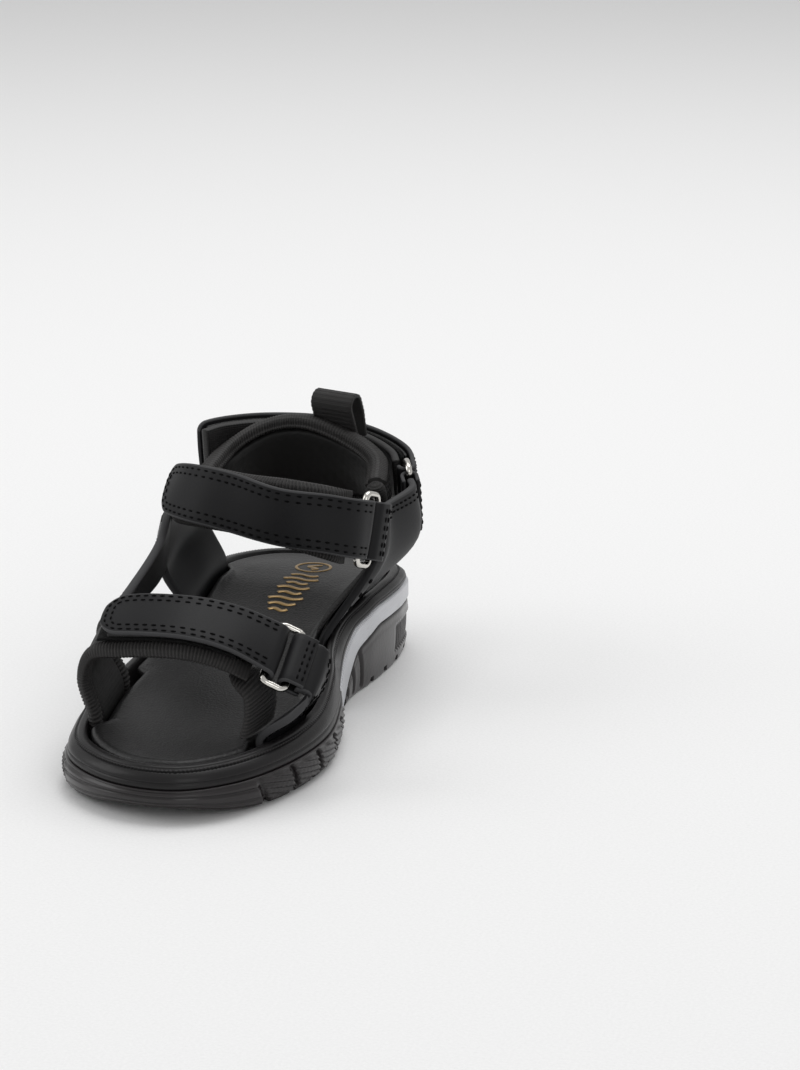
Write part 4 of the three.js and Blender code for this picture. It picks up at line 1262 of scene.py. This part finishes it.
def addInnerSide():
    instepLow, instepHigh = upwards(panelEdge(rings["instep"]))
    heelLow, heelHigh = upwards(panelEdge(rings["heel"]))
    seat = 2.2
    quarter = Sheet([
        [foot(1, 0.03, seat), overRim(1, 0.03, seat), instepLow, instepHigh],
        [foot(1, 0.08, seat), overRim(1, 0.08, seat),
         ahead(instepLow, rings["instep"]), ahead(instepHigh, rings["instep"])],
        [foot(1, 0.2, seat), overRim(1, 0.2, seat), place(0.93, 0.32, 43.5), place(0.92, 0.34, 58)],
        [foot(1, 0.36, seat), overRim(1, 0.36, seat),
         ahead(heelLow, rings["heel"]), ahead(heelHigh, rings["heel"])],
        [foot(1, 0.42, seat), overRim(1, 0.42, seat), heelLow, heelHigh]])
    panel(quarter, "innerQuarterLeather", (-1.1, 1.1), "inner_quarter", corner=0.6, across=30)
    stitched(quarter, "innerStitches", [
        [(0.2, 0.955), (0.8, 0.955)], [(0.2, 0.92), (0.8, 0.92)],
        [(0.05, 0.38), (0.12, 0.5), (0.16, 0.62)], [(0.95, 0.38), (0.88, 0.5), (0.84, 0.62)],
        [(0.09, 0.37), (0.16, 0.5), (0.2, 0.62)], [(0.91, 0.37), (0.84, 0.5), (0.8, 0.62)]], 1.17)
    lining = strip(quarter, lambda u: (0.36, 0.93), -2.9, -1.7, (0.2, 0.8), corner=0.4, across=22,
                   rib=0.15, ribPitch=1.6, step=0.4)
    finishPiece(lining, "innerLining", "sandal", "lining_cloth", ["inner_quarter_lining"],
                ["lining_cloth", "lining_cloth"])


pad = {"face": 0.0, "thickness": 4.6, "crown": 0.5, "hollow": -0.9, "edge": 4.7}


def puff(bm):
    # fills the pad: small cells swell and dip over the whole pad
    for v in bm.verts:
        spot = Vector(v.co) / mm
        cells = math.sin(spot.x * 1.9 + spot.z * 0.4) * math.sin(spot.z * 1.7) * math.sin(spot.y * 1.9)
        v.co += v.normal * (0.12 * cells * mm)


def addCollar():
    made = strip(collar, inFromEdges(collar, pad["edge"]), -pad["thickness"], pad["face"], step=0.8,
                 corner=1.2, crown=pad["crown"], hollow=pad["hollow"], across=24, lined=True)
    puff(made)
    piece = finishPiece(made, "collarPad", "sandal", "mesh_cloth", ["heel_collar"],
                        ["mesh_cloth", "collar_lining"])
    for name, edges in (("Lower", firstEdge(collar, 4.6)), ("Upper", secondEdge(collar, 4.6))):
        roll = strip(collar, edges, -pad["thickness"], 0, step=0.22, corner=1.9, crown=1.2, hollow=-0.9,
                     rib=0.42, ribPitch=1.05, across=6)
        finishPiece(roll, "collar" + name + "Binding", "sandal", "ribbed_elastic",
                    [f"collar_{name.lower()}_binding"], ["ribbed_elastic", "ribbed_elastic"])


def addCollarEnd(name, u, sign, radius):
    # the binding runs down the collar's end as a fat ribbed roll
    rows = 90
    circle = roundSection(radius, 18)

    def put(i, a, b):
        v = 0.03 + 0.94 * i / rows
        back = collar.along(u, v) * sign
        rib = 1 + 0.07 * math.sin(i * 1.3)
        taper = math.sqrt(max(0.05, 1 - abs(2 * i / rows - 1) ** 6))
        middle = collar.at(u, v) - collar.normal(u, v) * 2.3 + back * radius * 0.75
        return middle + back * (a * rib * taper) + collar.normal(u, v) * (b * rib * taper)

    bm = wrap([circle] * (rows + 1), put, list(range(rows + 1)))
    finishPiece(bm, name, "sandal", "ribbed_elastic", (), ["ribbed_elastic"])


tab = {"width": 14.5, "height": 12.5, "thickness": 1.3, "room": 2.4, "seat": (0.41, 0.72)}


def addPullTab():
    u, v = tab["seat"]
    seat, out, up = collar.at(u, v), collar.normal(u, v), collar.across(u, v)
    side = up.cross(out).normalized()
    middle = tab["thickness"] + 0.3 + tab["room"]
    path = []
    for k in range(24):
        t = k / 24
        path.append((tab["room"] * min(1, 0.35 + t), tab["height"] * t, 1, 0))
    path += [(0, tab["height"], 0, math.pi * k / 22) for k in range(23)]
    path += [(tab["room"], tab["height"] * (1 - k / 24), -1, 0) for k in range(1, 25)]
    sections, rims = [], set()
    for i in range(len(path)):
        wave = 0.13 * math.sin(i * 2.1)
        points, rims = roundedSection(tab["width"], 0, tab["thickness"] + wave, 0.5, 0)
        sections.append(points)

    def put(i, w, lift):
        reach, rise, arm, angle = path[i]
        if arm:
            depth = middle + arm * (reach + lift)
        else:
            depth = middle + (tab["room"] + lift) * math.cos(angle)
            rise += (tab["room"] + lift) * math.sin(angle)
        return seat + out * depth + up * rise + side * (w - tab["width"] / 2)

    bm = wrap(sections, put, list(range(len(path))), rims)
    finishPiece(bm, "pullTabLoop", "sandal", "ribbed_elastic", ["pull_tab"],
                ["ribbed_elastic", "ribbed_elastic"])


def coverHidden():
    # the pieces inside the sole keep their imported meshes
    for name, key in (("lasting_board", "board_fibre"), ("footbed_foam", "footbed_foam")):
        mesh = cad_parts[name].data
        mesh.materials.clear()
        mesh.materials.append(materials[key])


def addFloor():
    bm = bmesh.new()
    bmesh.ops.create_grid(bm, x_segments=1, y_segments=1, size=40)
    mesh = bpy.data.meshes.new("floor")
    bm.to_mesh(mesh)
    bm.free()
    floor = bpy.data.objects.new("floor", mesh)
    mesh.materials.append(plain("paleFloor", (0.9, 0.9, 0.9), 0.7))
    floor.location.z = -0.0002
    bpy.context.scene.collection.objects.link(floor)


addCamera()
addLight()
materials.update(makeMaterials())
print("camera, light and materials ready")
outsoleForefoot()
outsoleHeel()
midsoleStripe()
midsole()
goldPrint(footbedCover())
print("sole ready")
addStraps()
print("straps ready")
addToeSide()
addOuterSide()
addInnerSide()
print("panels ready")
addCollar()
addCollarEnd("collarInnerEnd", 0, -1, 3.0)
addPullTab()
print("collar ready")
coverHidden()
addFloor()
